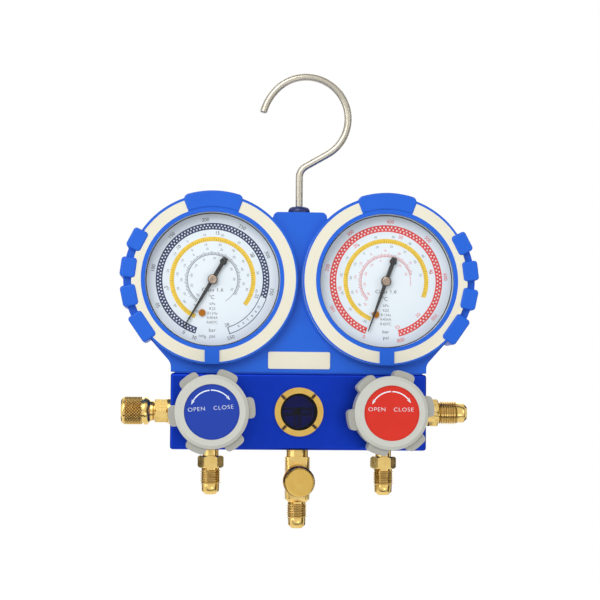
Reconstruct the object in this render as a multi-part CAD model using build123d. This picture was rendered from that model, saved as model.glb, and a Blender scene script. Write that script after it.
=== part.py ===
from build123d import *
import os
from math import cos, radians, sin, sqrt, tan

# Refrigerant manifold gauge, in millimetres.
#
# Everything is drawn in the front view: X to the right, Y up and Z out towards the reader, with the
# origin at the centre of the valve block. TO_ROW turns the drawing upright (Z up, front facing -Y) and
# moves its origin to the inside of the hook's crown, on the axis that the hook swivels about.

# Valve block
BLOCK_WIDTH = 138.0
BLOCK_HEIGHT = 41.0
BLOCK_DEPTH = 26.0
BLOCK_EDGE = 1.6
STATION = 47.0                 # gauges, valves and hose ports stand this far left and right of the middle
GALLERY_RADIUS = 2.5           # cross drilling that joins both valves, the sight glass and the centre port
GAUGE_DRILLING = 2.2           # radius of the drilling from a hose port up to its gauge
CENTRE_DRILLING = 2.0          # radius of the drilling from the gallery down to the centre port

# Valves
VALVE_SEAT_Z = -3.0
VALVE_ORIFICE = 1.8            # radius of the hole that the spindle's cone closes
VALVE_CHAMBER = 4.6            # radius of the drilling behind the bonnet
SPINDLE_RADIUS = 3.4
SPINDLE_NOSE = 1.2             # radius at the point of the spindle's cone
SPINDLE_CONE_LENGTH = 4.0
SPINDLE_LENGTH = 39.0
SPINDLE_TAPPING = 1.6
SEAT_GAP = 0.03
RUNNING_GAP = 0.05             # radial gap of shafts that turn or slide
BONNET_THREAD = 7.0
BONNET_THREAD_LENGTH = 8.0
BONNET_FLATS = 17.0
BONNET_HEX_LENGTH = 5.0
BONNET_NECK = 5.6
BONNET_NECK_LENGTH = 3.0
PACKING_RADIUS = 4.6           # packing ring inside the bonnet's neck
PACKING_LENGTH = 2.4
PACKING_COVER = 1.0            # wall of the neck in front of the packing

# Hand wheels
KNOB_FRONT_Z = 43.0
KNOB_DEPTH = 17.0
KNOB_ROOT_RADIUS = 19.4
KNOB_LOBE_RADIUS = 22.8
KNOB_LOBE_WIDTH = 11.0
KNOB_LOBE_ROUND = 2.2
KNOB_LOBES = 6
KNOB_RIM_STEP = 2.6            # the plain rim stands this far in front of the lobes
KNOB_RIM_CHAMFER = 1.8
KNOB_WALL = 2.4
KNOB_WEB = 4.0
KNOB_HUB_RADIUS = 6.0
KNOB_TURN_LOW = 6.5            # degrees, how far the left hand wheel's lobes are turned when shut
KNOB_TURN_HIGH = 10.5
LABEL_RADIUS = 14.5
LABEL_THICKNESS = 1.0
LABEL_RECESS = 0.6
KNOB_SCREW_HEAD = 3.0
KNOB_SCREW_HEAD_HEIGHT = 1.6
KNOB_SCREW_SHANK = 1.5
KNOB_SCREW_LENGTH = 8.0

# Sight glass
SIGHT_RING_RADIUS = 13.1
SIGHT_RING_PROUD = 2.5
SIGHT_THREAD = 12.0
SIGHT_OPENING = 9.95
SIGHT_LIP = 1.6
SIGHT_GLASS_RADIUS = 11.0
SIGHT_GLASS_THICKNESS = 4.0
SIGHT_GASKET_THICKNESS = 1.2
SIGHT_GASKET_BORE = 8.5
SIGHT_RING_GAP = 0.5           # between the ring's inner end and the floor of its pocket
SIGHT_CHAMBER_RADIUS = 8.0
SIGHT_CHAMBER_FLOOR_Z = 0.8
SIGHT_SLOTS = 4
SIGHT_SLOT_WIDTH = 2.2
SIGHT_SLOT_DEPTH = 1.2
SIGHT_SLOT_TURN = 47.0

# Hose ports: quarter-inch flare ends with a 7/16 inch thread
FLARE_THREAD = 5.556
FLARE_THREAD_LENGTH = 9.5
FLARE_NOSE_LENGTH = 4.8
FLARE_NOSE_RADIUS = 4.75
FLARE_TIP_RADIUS = 2.9
FLARE_BORE = 2.4
THREAD_CHAMFER = 0.7
PORT_ROOT = 5.2                # radius of the end that screws into the block
PORT_ROOT_LENGTH = 8.0
TAPPED_DEPTH = 9.5
DRILL_OVERLAP = 1.0            # how far a drilling runs on into the hole that it meets
PORT_NECK_RADIUS = 4.3
PORT_NECK_LENGTH = 3.5
PORT_FLATS = 12.2
PORT_HEX_LENGTH = 6.6
HEX_CHAMFER = 0.9

# Centre port with a branch to the front
CENTRE_NECK_RADIUS = 5.9
CENTRE_NECK_LENGTH = 3.9
CENTRE_BODY_WIDTH = 13.1
CENTRE_BODY_LENGTH = 24.3
CENTRE_BODY_ROUND = 2.4
CENTRE_BODY_CHAMFER = 1.6
BRANCH_DROP = 12.6             # from the top of the centre port's body down to the branch's axis
BRANCH_NECK_LENGTH = 3.0
FRONT_CAP_RADIUS = 8.35
FRONT_CAP_LENGTH = 16.5

# Left side port with its knurled cap
LEFT_COLLAR_RADIUS = 7.0
LEFT_COLLAR_LENGTH = 1.5
LEFT_FLATS = 12.4
LEFT_HEX_LENGTH = 7.0
LEFT_NECK_RADIUS = 5.0
LEFT_NECK_LENGTH = 0.4
SIDE_CAP_RADIUS = 7.6
SIDE_CAP_LENGTH = 15.7

# Caps
CAP_END_THICKNESS = 2.4
CAP_ROUND = 1.5
CAP_COLLAR_LENGTH = 3.2
CAP_GROOVE = 0.7
CAP_GROOVE_WIDTH = 1.0
CAP_SEAL_THICKNESS = 1.0
CAP_SEAL_GAP = 0.06
CORE_HEAD_LENGTH = 5.0
CORE_TAIL_RADIUS = 1.4
CORE_TAIL_LENGTH = 6.0
CORE_PIN_RADIUS = 0.6
CORE_PIN_LENGTH = 2.2
CORE_RECESS = 3.0              # the core's head sits this far inside the port's mouth

# Right side port: five-sixteenths flare end with a 1/2 inch thread
RIGHT_COLLAR_RADIUS = 7.4
RIGHT_COLLAR_LENGTH = 1.8
RIGHT_FLATS = 14.6
RIGHT_HEX_LENGTH = 5.7
RIGHT_THREAD = 6.35
RIGHT_THREAD_LENGTH = 11.1
RIGHT_NOSE_LENGTH = 4.9
RIGHT_NOSE_RADIUS = 5.4
RIGHT_TIP_RADIUS = 3.6
RIGHT_BORE = 3.0

# Moulded housing
GAUGE_HEIGHT = 71.0            # gauge centres above the centre of the block
CUP_RADIUS = 46.4
CUP_FRONT_Z = 16.5
CUP_DEPTH = 31.5
CUP_ROUND = 2.0
CUP_OPENING = 36.3
LIP_THICKNESS = 2.0
CUP_FLOOR = 2.5
SLEEVE_WALL = 2.5
PARTING_Z = 2.0                # the two halves of the housing meet here
BODY_FRONT_Z = 11.5
BODY_BACK_Z = -12.0
BODY_WALL = 2.5
HOUSING_TOP = 108.0
SPINE_TOP_WIDTH = 29.0
SPINE_BOTTOM_WIDTH = 33.0
SPINE_CORNER = 3.0
SPINE_CAVITY_WIDTH = 10.0
HOUSING_GAP = 0.7              # shadow gap between housing and block
FOOT_INSET = 2.0
HOUSING_FLOOR = 4.0
SKIRT_ANGLE = 41.5             # degrees below level where the skirt leaves the cup in a straight line
SKIRT_ROUND = 6.0
GRIP_ANGLES = (153.0, 172.7, 191.9, 214.6)
GRIP_WIDTHS = (11.4, 10.8, 11.4, 16.0)
GRIP_REACH = 49.8
GRIP_LENGTH = 8.4
GRIP_DEPTH = 27.0
GRIP_ROUND = 1.8
RAIL_INNER = 43.6              # a low rail joins the grips outside the luminous ring
RAIL_OUTER = 48.0
RAIL_ANGLES = (147.5, 222.0)
RAIL_DEPTH = 20.0
GRIP_EDGE = 1.0
CROWN_ANGLE = 20.5             # half the angle of the pad at twelve o'clock on each cup
CROWN_REACH = 47.7
CROWN_ROUND = 3.0
CROWN_DEPTH = 28.0
TAB_WIDTH = 7.8                # bridge at six o'clock over the luminous ring
TAB_OVERLAP = 1.0              # how far the bridge reaches onto the lip inside the ring
GLOW_INNER = 38.5
GLOW_OUTER = 45.6              # the ring forms the rim of the cup all the way out
GLOW_DEPTH = 3.0
GLOW_EDGE = 0.9
PAD_PROUD = 0.6                # grips, crown pad and tab stand this far in front of the ring
PLATE_WIDTH = 33.4
PLATE_HEIGHT = 9.2
PLATE_RISE = 27.7              # name plate's centre above the centre of the block
PLATE_CORNER = 1.0
PLATE_THICKNESS = 1.5
PLATE_PROUD = 0.5
STEM_HOLE_GAP = 0.5            # round the gauge stem where it passes through the housing
HOUSING_SCREW_ANGLES = (62.0, 132.0, 236.0)
HOUSING_SCREW_RADIUS = 42.4
SCREW_SHANK = 1.5
SCREW_HEAD = 2.9
SCREW_HEAD_HEIGHT = 2.0
SCREW_BITE = 7.0
SCREW_SINK = 3.0
BLOCK_SCREW_X = 24.0
BLOCK_SCREW_Z = -7.5
BLOCK_SCREW_HEAD = 3.4

# Gauges
CASE_RADIUS = 38.0
CASE_GAP = 0.2
CASE_WALL = 1.2
CASE_FLOOR = 1.5
CASE_LEDGE_WALL = 3.0
LENS_THICKNESS = 2.0
LENS_GAP = 0.3
DIAL_THICKNESS = 0.8
DIAL_BEHIND_LENS = 3.0
DIAL_HOLE = 2.2
STEM_Z = -5.5
STEM_SQUARE = 12.0
STEM_SHANK_SQUARE = 11.0
STEM_FOOT = 5.2                # radius of the threaded foot in the block
STEM_FOOT_LENGTH = 9.0
STEM_BORE = 1.6
STEM_BLOCK_TOP = 10.0          # the stem's inner block ends this far below the gauge centre
STEM_BLOCK_DEPTH = 9.0
TUBE_RADIUS = 26.0             # centre line of the Bourdon tube
TUBE_DEPTH = 8.0
TUBE_WIDTH = 3.6
TUBE_WALL = 0.5
TUBE_ROUNDNESS = 0.49          # corner radius of the tube's section as a share of its width
TUBE_START = 262.0             # degrees
TUBE_END = -40.0
TIP_BOSS = 2.4
PLATE_GAUGE = 1.2              # thickness of the movement's plates
PLATE_SPACING = 4.8
POST_RADIUS = 1.2
PLATE_CORNER_RADIUS = 3.0
POST_TOP = (9.5, 5.0)
POST_BOTTOM = (10.0, -29.0)
ARBOR_RADIUS = 0.8
ARBOR_SHORTFALL = 0.3          # arbors end this far inside the outer faces of the plates
TOOTH_MODULE = 0.4
PINION_TEETH = 10
SECTOR_TEETH = 90              # teeth on the full circle that the sector is part of
TOOTH_WIDTH = 0.42             # at the pitch circle
TOOTH_TIP_WIDTH = 0.24
TOOTH_RISE = 0.8               # in modules, outside the pitch circle
TOOTH_FALL = 1.3               # in modules, inside the pitch circle
SECTOR_THICKNESS = 1.2
SECTOR_OFFSET = 1.4            # in front of the rear plate
PINION_OVERHANG = 0.2
SECTOR_HUB = 2.6
SECTOR_HALF_ANGLE = 25.0
SECTOR_RIM = 3.0               # width of the toothed rim outside the window
SECTOR_WINDOW_START = 4.6      # radius where the sector's window starts
SECTOR_SPOKE_ANGLE = 7.0       # degrees that each spoke takes
TAIL_ANGLE = -30.0
TAIL_LENGTH = 8.0
TAIL_EYE = 1.7
LINK_PIN = 0.6
LINK_THICKNESS = 0.8
LINK_WIDTH = 2.0
LINK_EYE = 1.6
LINK_GAP = 0.4
POINTER_THICKNESS = 0.5
POINTER_GAP = 1.1              # between dial and pointer
POINTER_HUB = 2.7
POINTER_HUB_HEIGHT = 1.6
POINTER_WIDTH = 2.2
POINTER_TIP_WIDTH = 0.5
POINTER_TAIL = 13.8
POINTER_TAIL_WIDTH = 4.0       # across the arrow-shaped counterweight
POINTER_TAIL_END_WIDTH = 2.6
POINTER_NECK_WIDTH = 2.2
POINTER_HEAD_LENGTH = 4.2
POINTER_BARB_LENGTH = 1.2
LOW_POINTER_LENGTH = 30.0
HIGH_POINTER_LENGTH = 28.8
LOW_POINTER_ANGLE = 239.5      # degrees, where the pointer rests
HIGH_POINTER_ANGLE = 250.5
LOW_SWEEP = (-13.0, 311.0)     # degrees clockwise from rest
HIGH_SWEEP = (-2.0, 326.0)
ADJUSTER_PLACE = (-5.5, -18.0)
ADJUSTER_RADIUS = 1.9
ADJUSTER_HEIGHT = 0.9
ADJUSTER_SHANK = 0.9

# Hook
WIRE_RADIUS = 1.95
HOOK_STEM_RISE = 20.3          # straight stem above the housing
HOOK_BEND_RADIUS = 7.0
HOOK_LEAN = 60.0               # degrees
HOOK_RUN = 13.5
HOOK_RADIUS = 22.9
HOOK_SWEEP = 195.0
HOOK_TIP_RADIUS = 29.0
HOOK_TIP_SWEEP = 31.0
HOOK_TIP_CHAMFER = 0.6
BUSH_RADIUS = 6.0
BUSH_DOME_HEIGHT = 4.0
BUSH_DOME_ROUND = 2.6
BUSH_SHANK = 4.5
BUSH_SHANK_LENGTH = 8.0
COLLAR_RADIUS = 4.0
COLLAR_LENGTH = 3.0
COLLAR_GAP = 0.06
HOOK_END_BELOW_COLLAR = 1.5

# Directions that fittings point in, for pieces drawn upright along +Z
DOWN = Rot(90, 0, 0)
UP = Rot(-90, 0, 0)
LEFT = Rot(0, -90, 0)
RIGHT = Rot(0, 90, 0)

# Places that follow from the sizes above
BLOCK_TOP = BLOCK_HEIGHT / 2
BLOCK_FRONT = BLOCK_DEPTH / 2
BLOCK_SIDE = BLOCK_WIDTH / 2
HOUSING_BOTTOM = BLOCK_TOP + HOUSING_GAP
CUP_BACK_Z = CUP_FRONT_Z - CUP_DEPTH
SLEEVE_RADIUS = CASE_RADIUS + CASE_GAP
STEM_HOLE = max(STEM_SHANK_SQUARE, STEM_SQUARE) / sqrt(2) + STEM_HOLE_GAP
LENS_FRONT_Z = CUP_FRONT_Z - LIP_THICKNESS
CASE_FRONT_Z = LENS_FRONT_Z - LENS_THICKNESS
CASE_BACK_Z = CUP_BACK_Z + CUP_FLOOR
DIAL_FRONT_Z = CASE_FRONT_Z - DIAL_BEHIND_LENS
DIAL_BACK_Z = DIAL_FRONT_Z - DIAL_THICKNESS
REAR_PLATE_Z = STEM_Z + STEM_BLOCK_DEPTH / 2
SECTOR_Z = REAR_PLATE_Z + PLATE_GAUGE + SECTOR_OFFSET
LINK_Z = SECTOR_Z + SECTOR_THICKNESS + LINK_GAP
FRONT_PLATE_Z = REAR_PLATE_Z + PLATE_GAUGE + PLATE_SPACING
POINTER_Z = DIAL_FRONT_Z + POINTER_GAP
PINION_PITCH = PINION_TEETH * TOOTH_MODULE / 2
SECTOR_PITCH = SECTOR_TEETH * TOOTH_MODULE / 2
SECTOR_PIVOT_Y = -(PINION_PITCH + SECTOR_PITCH)
SIGHT_FLOOR_Z = BLOCK_FRONT + SIGHT_RING_PROUD - SIGHT_LIP - SIGHT_GLASS_THICKNESS - SIGHT_GASKET_THICKNESS
BRANCH_Y = -BLOCK_TOP - CENTRE_NECK_LENGTH - BRANCH_DROP
BRANCH_FACE_Z = CENTRE_BODY_WIDTH / 2 + BRANCH_NECK_LENGTH
SPINDLE_TIP_Z = VALVE_SEAT_Z - SPINDLE_CONE_LENGTH * (VALVE_ORIFICE - SPINDLE_NOSE) / (
    SPINDLE_RADIUS - SPINDLE_NOSE) + SEAT_GAP


def rod(radius, low, high, x=0.0, y=0.0):
    """Round bar along Z between two heights."""
    return Pos(x, y, (low + high) / 2) * Cylinder(radius, high - low)


def slab(width, height, low, high, x=0.0, y=0.0):
    """Rectangular block between two Z heights."""
    return Pos(x, y, (low + high) / 2) * Box(width, height, high - low)


def turned(points):
    """Solid turned about Z from (radius, height) points."""
    return revolve(Plane.XZ * make_face(Polyline(*points, close=True)), Axis.Z)


def prism(sketch, low, high):
    """Sketch in the front view, made solid between two Z heights."""
    return Pos(0, 0, low) * extrude(sketch, amount=high - low)


def both_sides(shape):
    """A shape with its mirror image on the other side of the middle."""
    return shape + mirror(shape, about=Plane.YZ)


def on_circle(radius, angle, x=0.0, y=0.0):
    """Point at an angle in degrees on a circle."""
    return (x + radius * cos(radians(angle)), y + radius * sin(radians(angle)))


# ---------------------------------------------------------------- fittings

def hex_bar(flats, low, high):
    """Hexagon along Z with both ends chamfered to a circle."""
    corner = flats / sqrt(3)
    drop = HEX_CHAMFER * (corner - flats / 2)
    blank = turned([(0, low), (flats / 2, low), (corner, low + drop), (corner, high - drop),
                    (flats / 2, high), (0, high)])
    return blank & prism(RegularPolygon(flats / 2, 6, major_radius=False), low, high)


def flare_end(thread, thread_length, nose_radius, nose_length, tip_radius, low):
    """Male flare end: thread, relief and 45 degree cone."""
    top = low + thread_length
    tip = top + nose_length
    return turned([(0, low), (thread - THREAD_CHAMFER, low), (thread, low + THREAD_CHAMFER),
                   (thread, top - THREAD_CHAMFER), (thread - THREAD_CHAMFER, top), (nose_radius, top),
                   (nose_radius, tip - (nose_radius - tip_radius)), (tip_radius, tip), (0, tip)])


def quarter_flare(low):
    """Quarter-inch flare end that starts at a height."""
    return flare_end(FLARE_THREAD, FLARE_THREAD_LENGTH, FLARE_NOSE_RADIUS, FLARE_NOSE_LENGTH,
                     FLARE_TIP_RADIUS, low)


def hose_port():
    """Hose port below a gauge, drawn along +Z from the block's face."""
    hex_top = PORT_NECK_LENGTH + PORT_HEX_LENGTH
    port = rod(PORT_ROOT, -PORT_ROOT_LENGTH, 0) + rod(PORT_NECK_RADIUS, 0, PORT_NECK_LENGTH)
    port += hex_bar(PORT_FLATS, PORT_NECK_LENGTH, hex_top) + quarter_flare(hex_top)
    length = hex_top + FLARE_THREAD_LENGTH + FLARE_NOSE_LENGTH
    return port - rod(FLARE_BORE, -PORT_ROOT_LENGTH, length)


def left_port():
    """Capped service port on the left end of the block."""
    hex_top = LEFT_COLLAR_LENGTH + LEFT_HEX_LENGTH
    neck_top = hex_top + LEFT_NECK_LENGTH
    port = rod(PORT_ROOT, -PORT_ROOT_LENGTH, 0) + rod(LEFT_COLLAR_RADIUS, 0, LEFT_COLLAR_LENGTH)
    port += hex_bar(LEFT_FLATS, LEFT_COLLAR_LENGTH, hex_top) + rod(LEFT_NECK_RADIUS, hex_top, neck_top)
    port += quarter_flare(neck_top)
    length = neck_top + FLARE_THREAD_LENGTH + FLARE_NOSE_LENGTH
    return port - rod(FLARE_BORE, -PORT_ROOT_LENGTH, length)


def right_port():
    """Larger hose port on the right end of the block."""
    hex_top = RIGHT_COLLAR_LENGTH + RIGHT_HEX_LENGTH
    port = rod(PORT_ROOT, -PORT_ROOT_LENGTH, 0) + rod(RIGHT_COLLAR_RADIUS, 0, RIGHT_COLLAR_LENGTH)
    port += hex_bar(RIGHT_FLATS, RIGHT_COLLAR_LENGTH, hex_top)
    port += flare_end(RIGHT_THREAD, RIGHT_THREAD_LENGTH, RIGHT_NOSE_RADIUS, RIGHT_NOSE_LENGTH,
                      RIGHT_TIP_RADIUS, hex_top)
    length = hex_top + RIGHT_THREAD_LENGTH + RIGHT_NOSE_LENGTH
    return port - rod(RIGHT_BORE, -PORT_ROOT_LENGTH, length)


def centre_port():
    """Centre hose port: square forged body with a threaded branch to the front."""
    body_top = CENTRE_NECK_LENGTH + CENTRE_BODY_LENGTH
    length = body_top + FLARE_THREAD_LENGTH + FLARE_NOSE_LENGTH
    section = RectangleRounded(CENTRE_BODY_WIDTH, CENTRE_BODY_WIDTH, CENTRE_BODY_ROUND)
    body = prism(section, CENTRE_NECK_LENGTH, body_top)
    body = chamfer(body.faces().sort_by(Axis.Z)[-1].edges(), CENTRE_BODY_CHAMFER)
    port = rod(PORT_ROOT, -PORT_ROOT_LENGTH, 0) + rod(CENTRE_NECK_RADIUS, 0, CENTRE_NECK_LENGTH)
    port += body + quarter_flare(body_top)
    port -= rod(FLARE_BORE, -PORT_ROOT_LENGTH, length)
    port = Pos(0, -BLOCK_TOP, 0) * DOWN * port
    branch = rod(LEFT_NECK_RADIUS, 0, BRANCH_FACE_Z) + quarter_flare(BRANCH_FACE_Z)
    branch_end = BRANCH_FACE_Z + FLARE_THREAD_LENGTH + FLARE_NOSE_LENGTH
    port += Pos(0, BRANCH_Y, 0) * branch
    return port - rod(FLARE_BORE, 0, branch_end, 0, BRANCH_Y)


def cap_shell(radius, length, nose):
    """Knurled cap over a flare end, drawn from its open end at height 0; nose is where the flare tip lies."""
    bore = FLARE_THREAD + RUNNING_GAP
    groove = CAP_COLLAR_LENGTH + CAP_GROOVE_WIDTH
    seat = nose + CAP_SEAL_GAP + CAP_SEAL_THICKNESS
    return turned([(bore, 0), (radius - CAP_ROUND, 0), (radius, CAP_ROUND), (radius, CAP_COLLAR_LENGTH),
                   (radius - CAP_GROOVE, CAP_COLLAR_LENGTH), (radius - CAP_GROOVE, groove),
                   (radius, groove), (radius, length - CAP_ROUND), (radius - CAP_ROUND, length),
                   (0, length), (0, seat), (bore, seat)])


def cap_seal(nose):
    """Rubber disc in the bottom of a cap, just clear of the flare tip."""
    low = nose + CAP_SEAL_GAP
    return rod(FLARE_THREAD + RUNNING_GAP, low, low + CAP_SEAL_THICKNESS)


def valve_core(mouth):
    """Charging valve core inside a port whose mouth is at a height."""
    head = mouth - CORE_RECESS
    tail = head - CORE_HEAD_LENGTH
    core = rod(FLARE_BORE, tail, head) + rod(CORE_TAIL_RADIUS, tail - CORE_TAIL_LENGTH, tail)
    return core + rod(CORE_PIN_RADIUS, head, head + CORE_PIN_LENGTH)


def capped_port(place, port_length, cap_radius, cap_length):
    """Cap, seal and core of a capped port, placed; the cap's open end stands clear of the neck."""
    nose = FLARE_THREAD_LENGTH + FLARE_NOSE_LENGTH
    base = cap_length - CAP_END_THICKNESS - CAP_SEAL_THICKNESS - CAP_SEAL_GAP - nose
    cap_place = place * Pos(0, 0, port_length - nose - base)
    return (cap_place * cap_shell(cap_radius, cap_length, nose + base), cap_place * cap_seal(nose + base),
            place * valve_core(port_length))


# ---------------------------------------------------------------- block and valves

def manifold_block():
    """Machined block with its drillings and pockets."""
    block = slab(BLOCK_WIDTH, BLOCK_HEIGHT, -BLOCK_FRONT, BLOCK_FRONT)
    block = fillet(block.edges(), BLOCK_EDGE)
    tapped = BLOCK_SIDE - TAPPED_DEPTH
    drilled = tapped + DRILL_OVERLAP
    block -= RIGHT * rod(GALLERY_RADIUS, -drilled, drilled)
    for side in (LEFT, RIGHT):
        block -= side * rod(PORT_ROOT, tapped, BLOCK_SIDE)
    for x in (-STATION, 0, STATION):
        block -= Pos(x, 0, 0) * DOWN * rod(PORT_ROOT, BLOCK_TOP - TAPPED_DEPTH, BLOCK_TOP)
    block -= DOWN * rod(CENTRE_DRILLING, 0, BLOCK_TOP - TAPPED_DEPTH + DRILL_OVERLAP)
    block -= rod(SIGHT_THREAD, SIGHT_FLOOR_Z, BLOCK_FRONT) + rod(SIGHT_CHAMBER_RADIUS, SIGHT_CHAMBER_FLOOR_Z,
                                                                       SIGHT_FLOOR_Z)
    for x in (-STATION, STATION):
        block -= rod(BONNET_THREAD, BLOCK_FRONT - BONNET_THREAD_LENGTH, BLOCK_FRONT, x)
        block -= rod(VALVE_CHAMBER, VALVE_SEAT_Z, BLOCK_FRONT - BONNET_THREAD_LENGTH, x)
        block -= rod(VALVE_ORIFICE, STEM_Z, VALVE_SEAT_Z + DRILL_OVERLAP, x)
        drilling = rod(GAUGE_DRILLING, TAPPED_DEPTH - DRILL_OVERLAP - BLOCK_TOP, BLOCK_TOP)
        block -= Pos(x, 0, STEM_Z) * UP * drilling
        block -= Pos(x, 0, STEM_Z) * UP * rod(STEM_FOOT, BLOCK_TOP - STEM_FOOT_LENGTH, BLOCK_TOP)
    return block - block_screws()


def block_screws():
    """Long screws from under the block into the floor of the housing."""
    sink = -BLOCK_TOP + SCREW_SINK
    screw = rod(BLOCK_SCREW_HEAD, -BLOCK_TOP, sink) + rod(SCREW_SHANK, sink, HOUSING_BOTTOM + HOUSING_FLOOR)
    return both_sides(Pos(BLOCK_SCREW_X, 0, BLOCK_SCREW_Z) * UP * screw)


def bonnet():
    """Brass gland nut that guides the spindle."""
    hex_top = BLOCK_FRONT + BONNET_HEX_LENGTH
    top = hex_top + BONNET_NECK_LENGTH
    nut = rod(BONNET_THREAD, BLOCK_FRONT - BONNET_THREAD_LENGTH, BLOCK_FRONT)
    nut += hex_bar(BONNET_FLATS, BLOCK_FRONT, hex_top) + rod(BONNET_NECK, hex_top, top)
    nut -= rod(SPINDLE_RADIUS + RUNNING_GAP, BLOCK_FRONT - BONNET_THREAD_LENGTH, top)
    packing_top = top - PACKING_COVER
    return nut - rod(PACKING_RADIUS, packing_top - PACKING_LENGTH, packing_top)


def packing():
    """Ring inside the bonnet that seals round the spindle."""
    top = BLOCK_FRONT + BONNET_HEX_LENGTH + BONNET_NECK_LENGTH - PACKING_COVER
    low = top - PACKING_LENGTH
    return rod(PACKING_RADIUS, low, top) - rod(SPINDLE_RADIUS + RUNNING_GAP, low, top)


def spindle():
    """Valve spindle with the cone that closes the orifice."""
    shoulder = SPINDLE_TIP_Z + SPINDLE_CONE_LENGTH
    top = SPINDLE_TIP_Z + SPINDLE_LENGTH
    bar = turned([(0, SPINDLE_TIP_Z), (SPINDLE_NOSE, SPINDLE_TIP_Z), (SPINDLE_RADIUS, shoulder),
                  (SPINDLE_RADIUS, top), (0, top)])
    return bar - rod(SPINDLE_TAPPING, top - KNOB_SCREW_LENGTH, top)


def knob_outline():
    """Hand wheel seen from the front: round with lobes."""
    reach = KNOB_LOBE_RADIUS * 2
    lobe = Circle(KNOB_LOBE_RADIUS) & Pos(reach / 2, 0) * Rectangle(reach, KNOB_LOBE_WIDTH)
    corners = lobe.vertices().group_by(SortBy.DISTANCE)[-1]
    lobe = fillet(corners, KNOB_LOBE_ROUND)
    outline = Circle(KNOB_ROOT_RADIUS)
    for index in range(KNOB_LOBES):
        outline += Rot(0, 0, index * 360 / KNOB_LOBES) * lobe
    return outline


def knob(turn):
    """Hollow plastic hand wheel with lobes, a plain rim in front and a hub over the spindle."""
    back = KNOB_FRONT_Z - KNOB_DEPTH
    lobe_front = KNOB_FRONT_Z - KNOB_RIM_STEP
    web_back = KNOB_FRONT_Z - LABEL_RECESS - LABEL_THICKNESS - KNOB_WEB
    wheel = prism(Rot(0, 0, turn) * knob_outline(), back, lobe_front)
    wheel += turned([(0, lobe_front), (KNOB_ROOT_RADIUS, lobe_front),
                     (KNOB_ROOT_RADIUS, KNOB_FRONT_Z - KNOB_RIM_CHAMFER),
                     (KNOB_ROOT_RADIUS - KNOB_RIM_CHAMFER, KNOB_FRONT_Z), (0, KNOB_FRONT_Z)])
    hollow = rod(KNOB_ROOT_RADIUS - KNOB_WALL, back, web_back) - rod(KNOB_HUB_RADIUS, back, web_back)
    wheel -= hollow
    wheel -= rod(LABEL_RADIUS, KNOB_FRONT_Z - LABEL_RECESS - LABEL_THICKNESS, KNOB_FRONT_Z)
    wheel -= rod(SPINDLE_RADIUS + RUNNING_GAP, back, SPINDLE_TIP_Z + SPINDLE_LENGTH + RUNNING_GAP)
    return wheel - knob_screw()


def label_disc():
    """Coloured disc in the front of a hand wheel."""
    front = KNOB_FRONT_Z - LABEL_RECESS
    return rod(LABEL_RADIUS, front - LABEL_THICKNESS, front)


def knob_screw():
    """Screw under the label that holds the hand wheel on its spindle."""
    top = KNOB_FRONT_Z - LABEL_RECESS - LABEL_THICKNESS
    head = top - KNOB_SCREW_HEAD_HEIGHT
    end = SPINDLE_TIP_Z + SPINDLE_LENGTH - KNOB_SCREW_LENGTH + 1
    return rod(KNOB_SCREW_HEAD, head, top) + rod(KNOB_SCREW_SHANK, end, head)


# ---------------------------------------------------------------- sight glass

def sight_ring():
    """Brass ring with spanner slots that holds the sight glass."""
    front = BLOCK_FRONT + SIGHT_RING_PROUD
    ring = rod(SIGHT_RING_RADIUS, BLOCK_FRONT, front) + rod(SIGHT_THREAD, SIGHT_FLOOR_Z + SIGHT_RING_GAP,
                                                            BLOCK_FRONT)
    ring -= rod(SIGHT_OPENING, SIGHT_FLOOR_Z, front)
    ring -= rod(SIGHT_GLASS_RADIUS, SIGHT_FLOOR_Z, front - SIGHT_LIP)
    for index in range(SIGHT_SLOTS):
        slot = slab(SIGHT_RING_RADIUS - SIGHT_OPENING, SIGHT_SLOT_WIDTH, front - SIGHT_SLOT_DEPTH, front,
                    SIGHT_OPENING + (SIGHT_RING_RADIUS - SIGHT_OPENING) / 2)
        ring -= Rot(0, 0, SIGHT_SLOT_TURN + index * 360 / SIGHT_SLOTS) * slot
    return ring


def sight_glass():
    """Round window behind the ring's lip."""
    front = BLOCK_FRONT + SIGHT_RING_PROUD - SIGHT_LIP
    return rod(SIGHT_GLASS_RADIUS, front - SIGHT_GLASS_THICKNESS, front)


def sight_gasket():
    """Gasket between the window and the floor of its pocket."""
    top = SIGHT_FLOOR_Z + SIGHT_GASKET_THICKNESS
    return rod(SIGHT_GLASS_RADIUS, SIGHT_FLOOR_Z, top) - rod(SIGHT_GASKET_BORE, SIGHT_FLOOR_Z, top)


# ---------------------------------------------------------------- housing

def grip_outline(angle, width):
    """Rounded finger grip on the outer side of the left cup, seen from the front."""
    x, y = on_circle(GRIP_REACH - GRIP_LENGTH / 2, angle)
    return Pos(x, y) * Rot(0, 0, angle) * RectangleRounded(GRIP_LENGTH, width, GRIP_ROUND)


def crown_outline():
    """Pad at twelve o'clock: a slice of a ring with its outer corners rounded."""
    reach = 2 * CROWN_REACH
    x, y = on_circle(reach, 90 - CROWN_ANGLE)
    slice_face = make_face(Polyline((0, 0), (x, y), (-x, y), close=True))
    pad = (Circle(CROWN_REACH) - Circle(GLOW_INNER)) & slice_face
    return fillet(pad.vertices().group_by(SortBy.DISTANCE)[-1], CROWN_ROUND)


def tab_outline():
    """Bridge over the luminous ring at six o'clock."""
    start = GLOW_INNER - TAB_OVERLAP
    height = GLOW_OUTER - start
    return Pos(0, -start - height / 2) * Rectangle(TAB_WIDTH, height)


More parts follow.
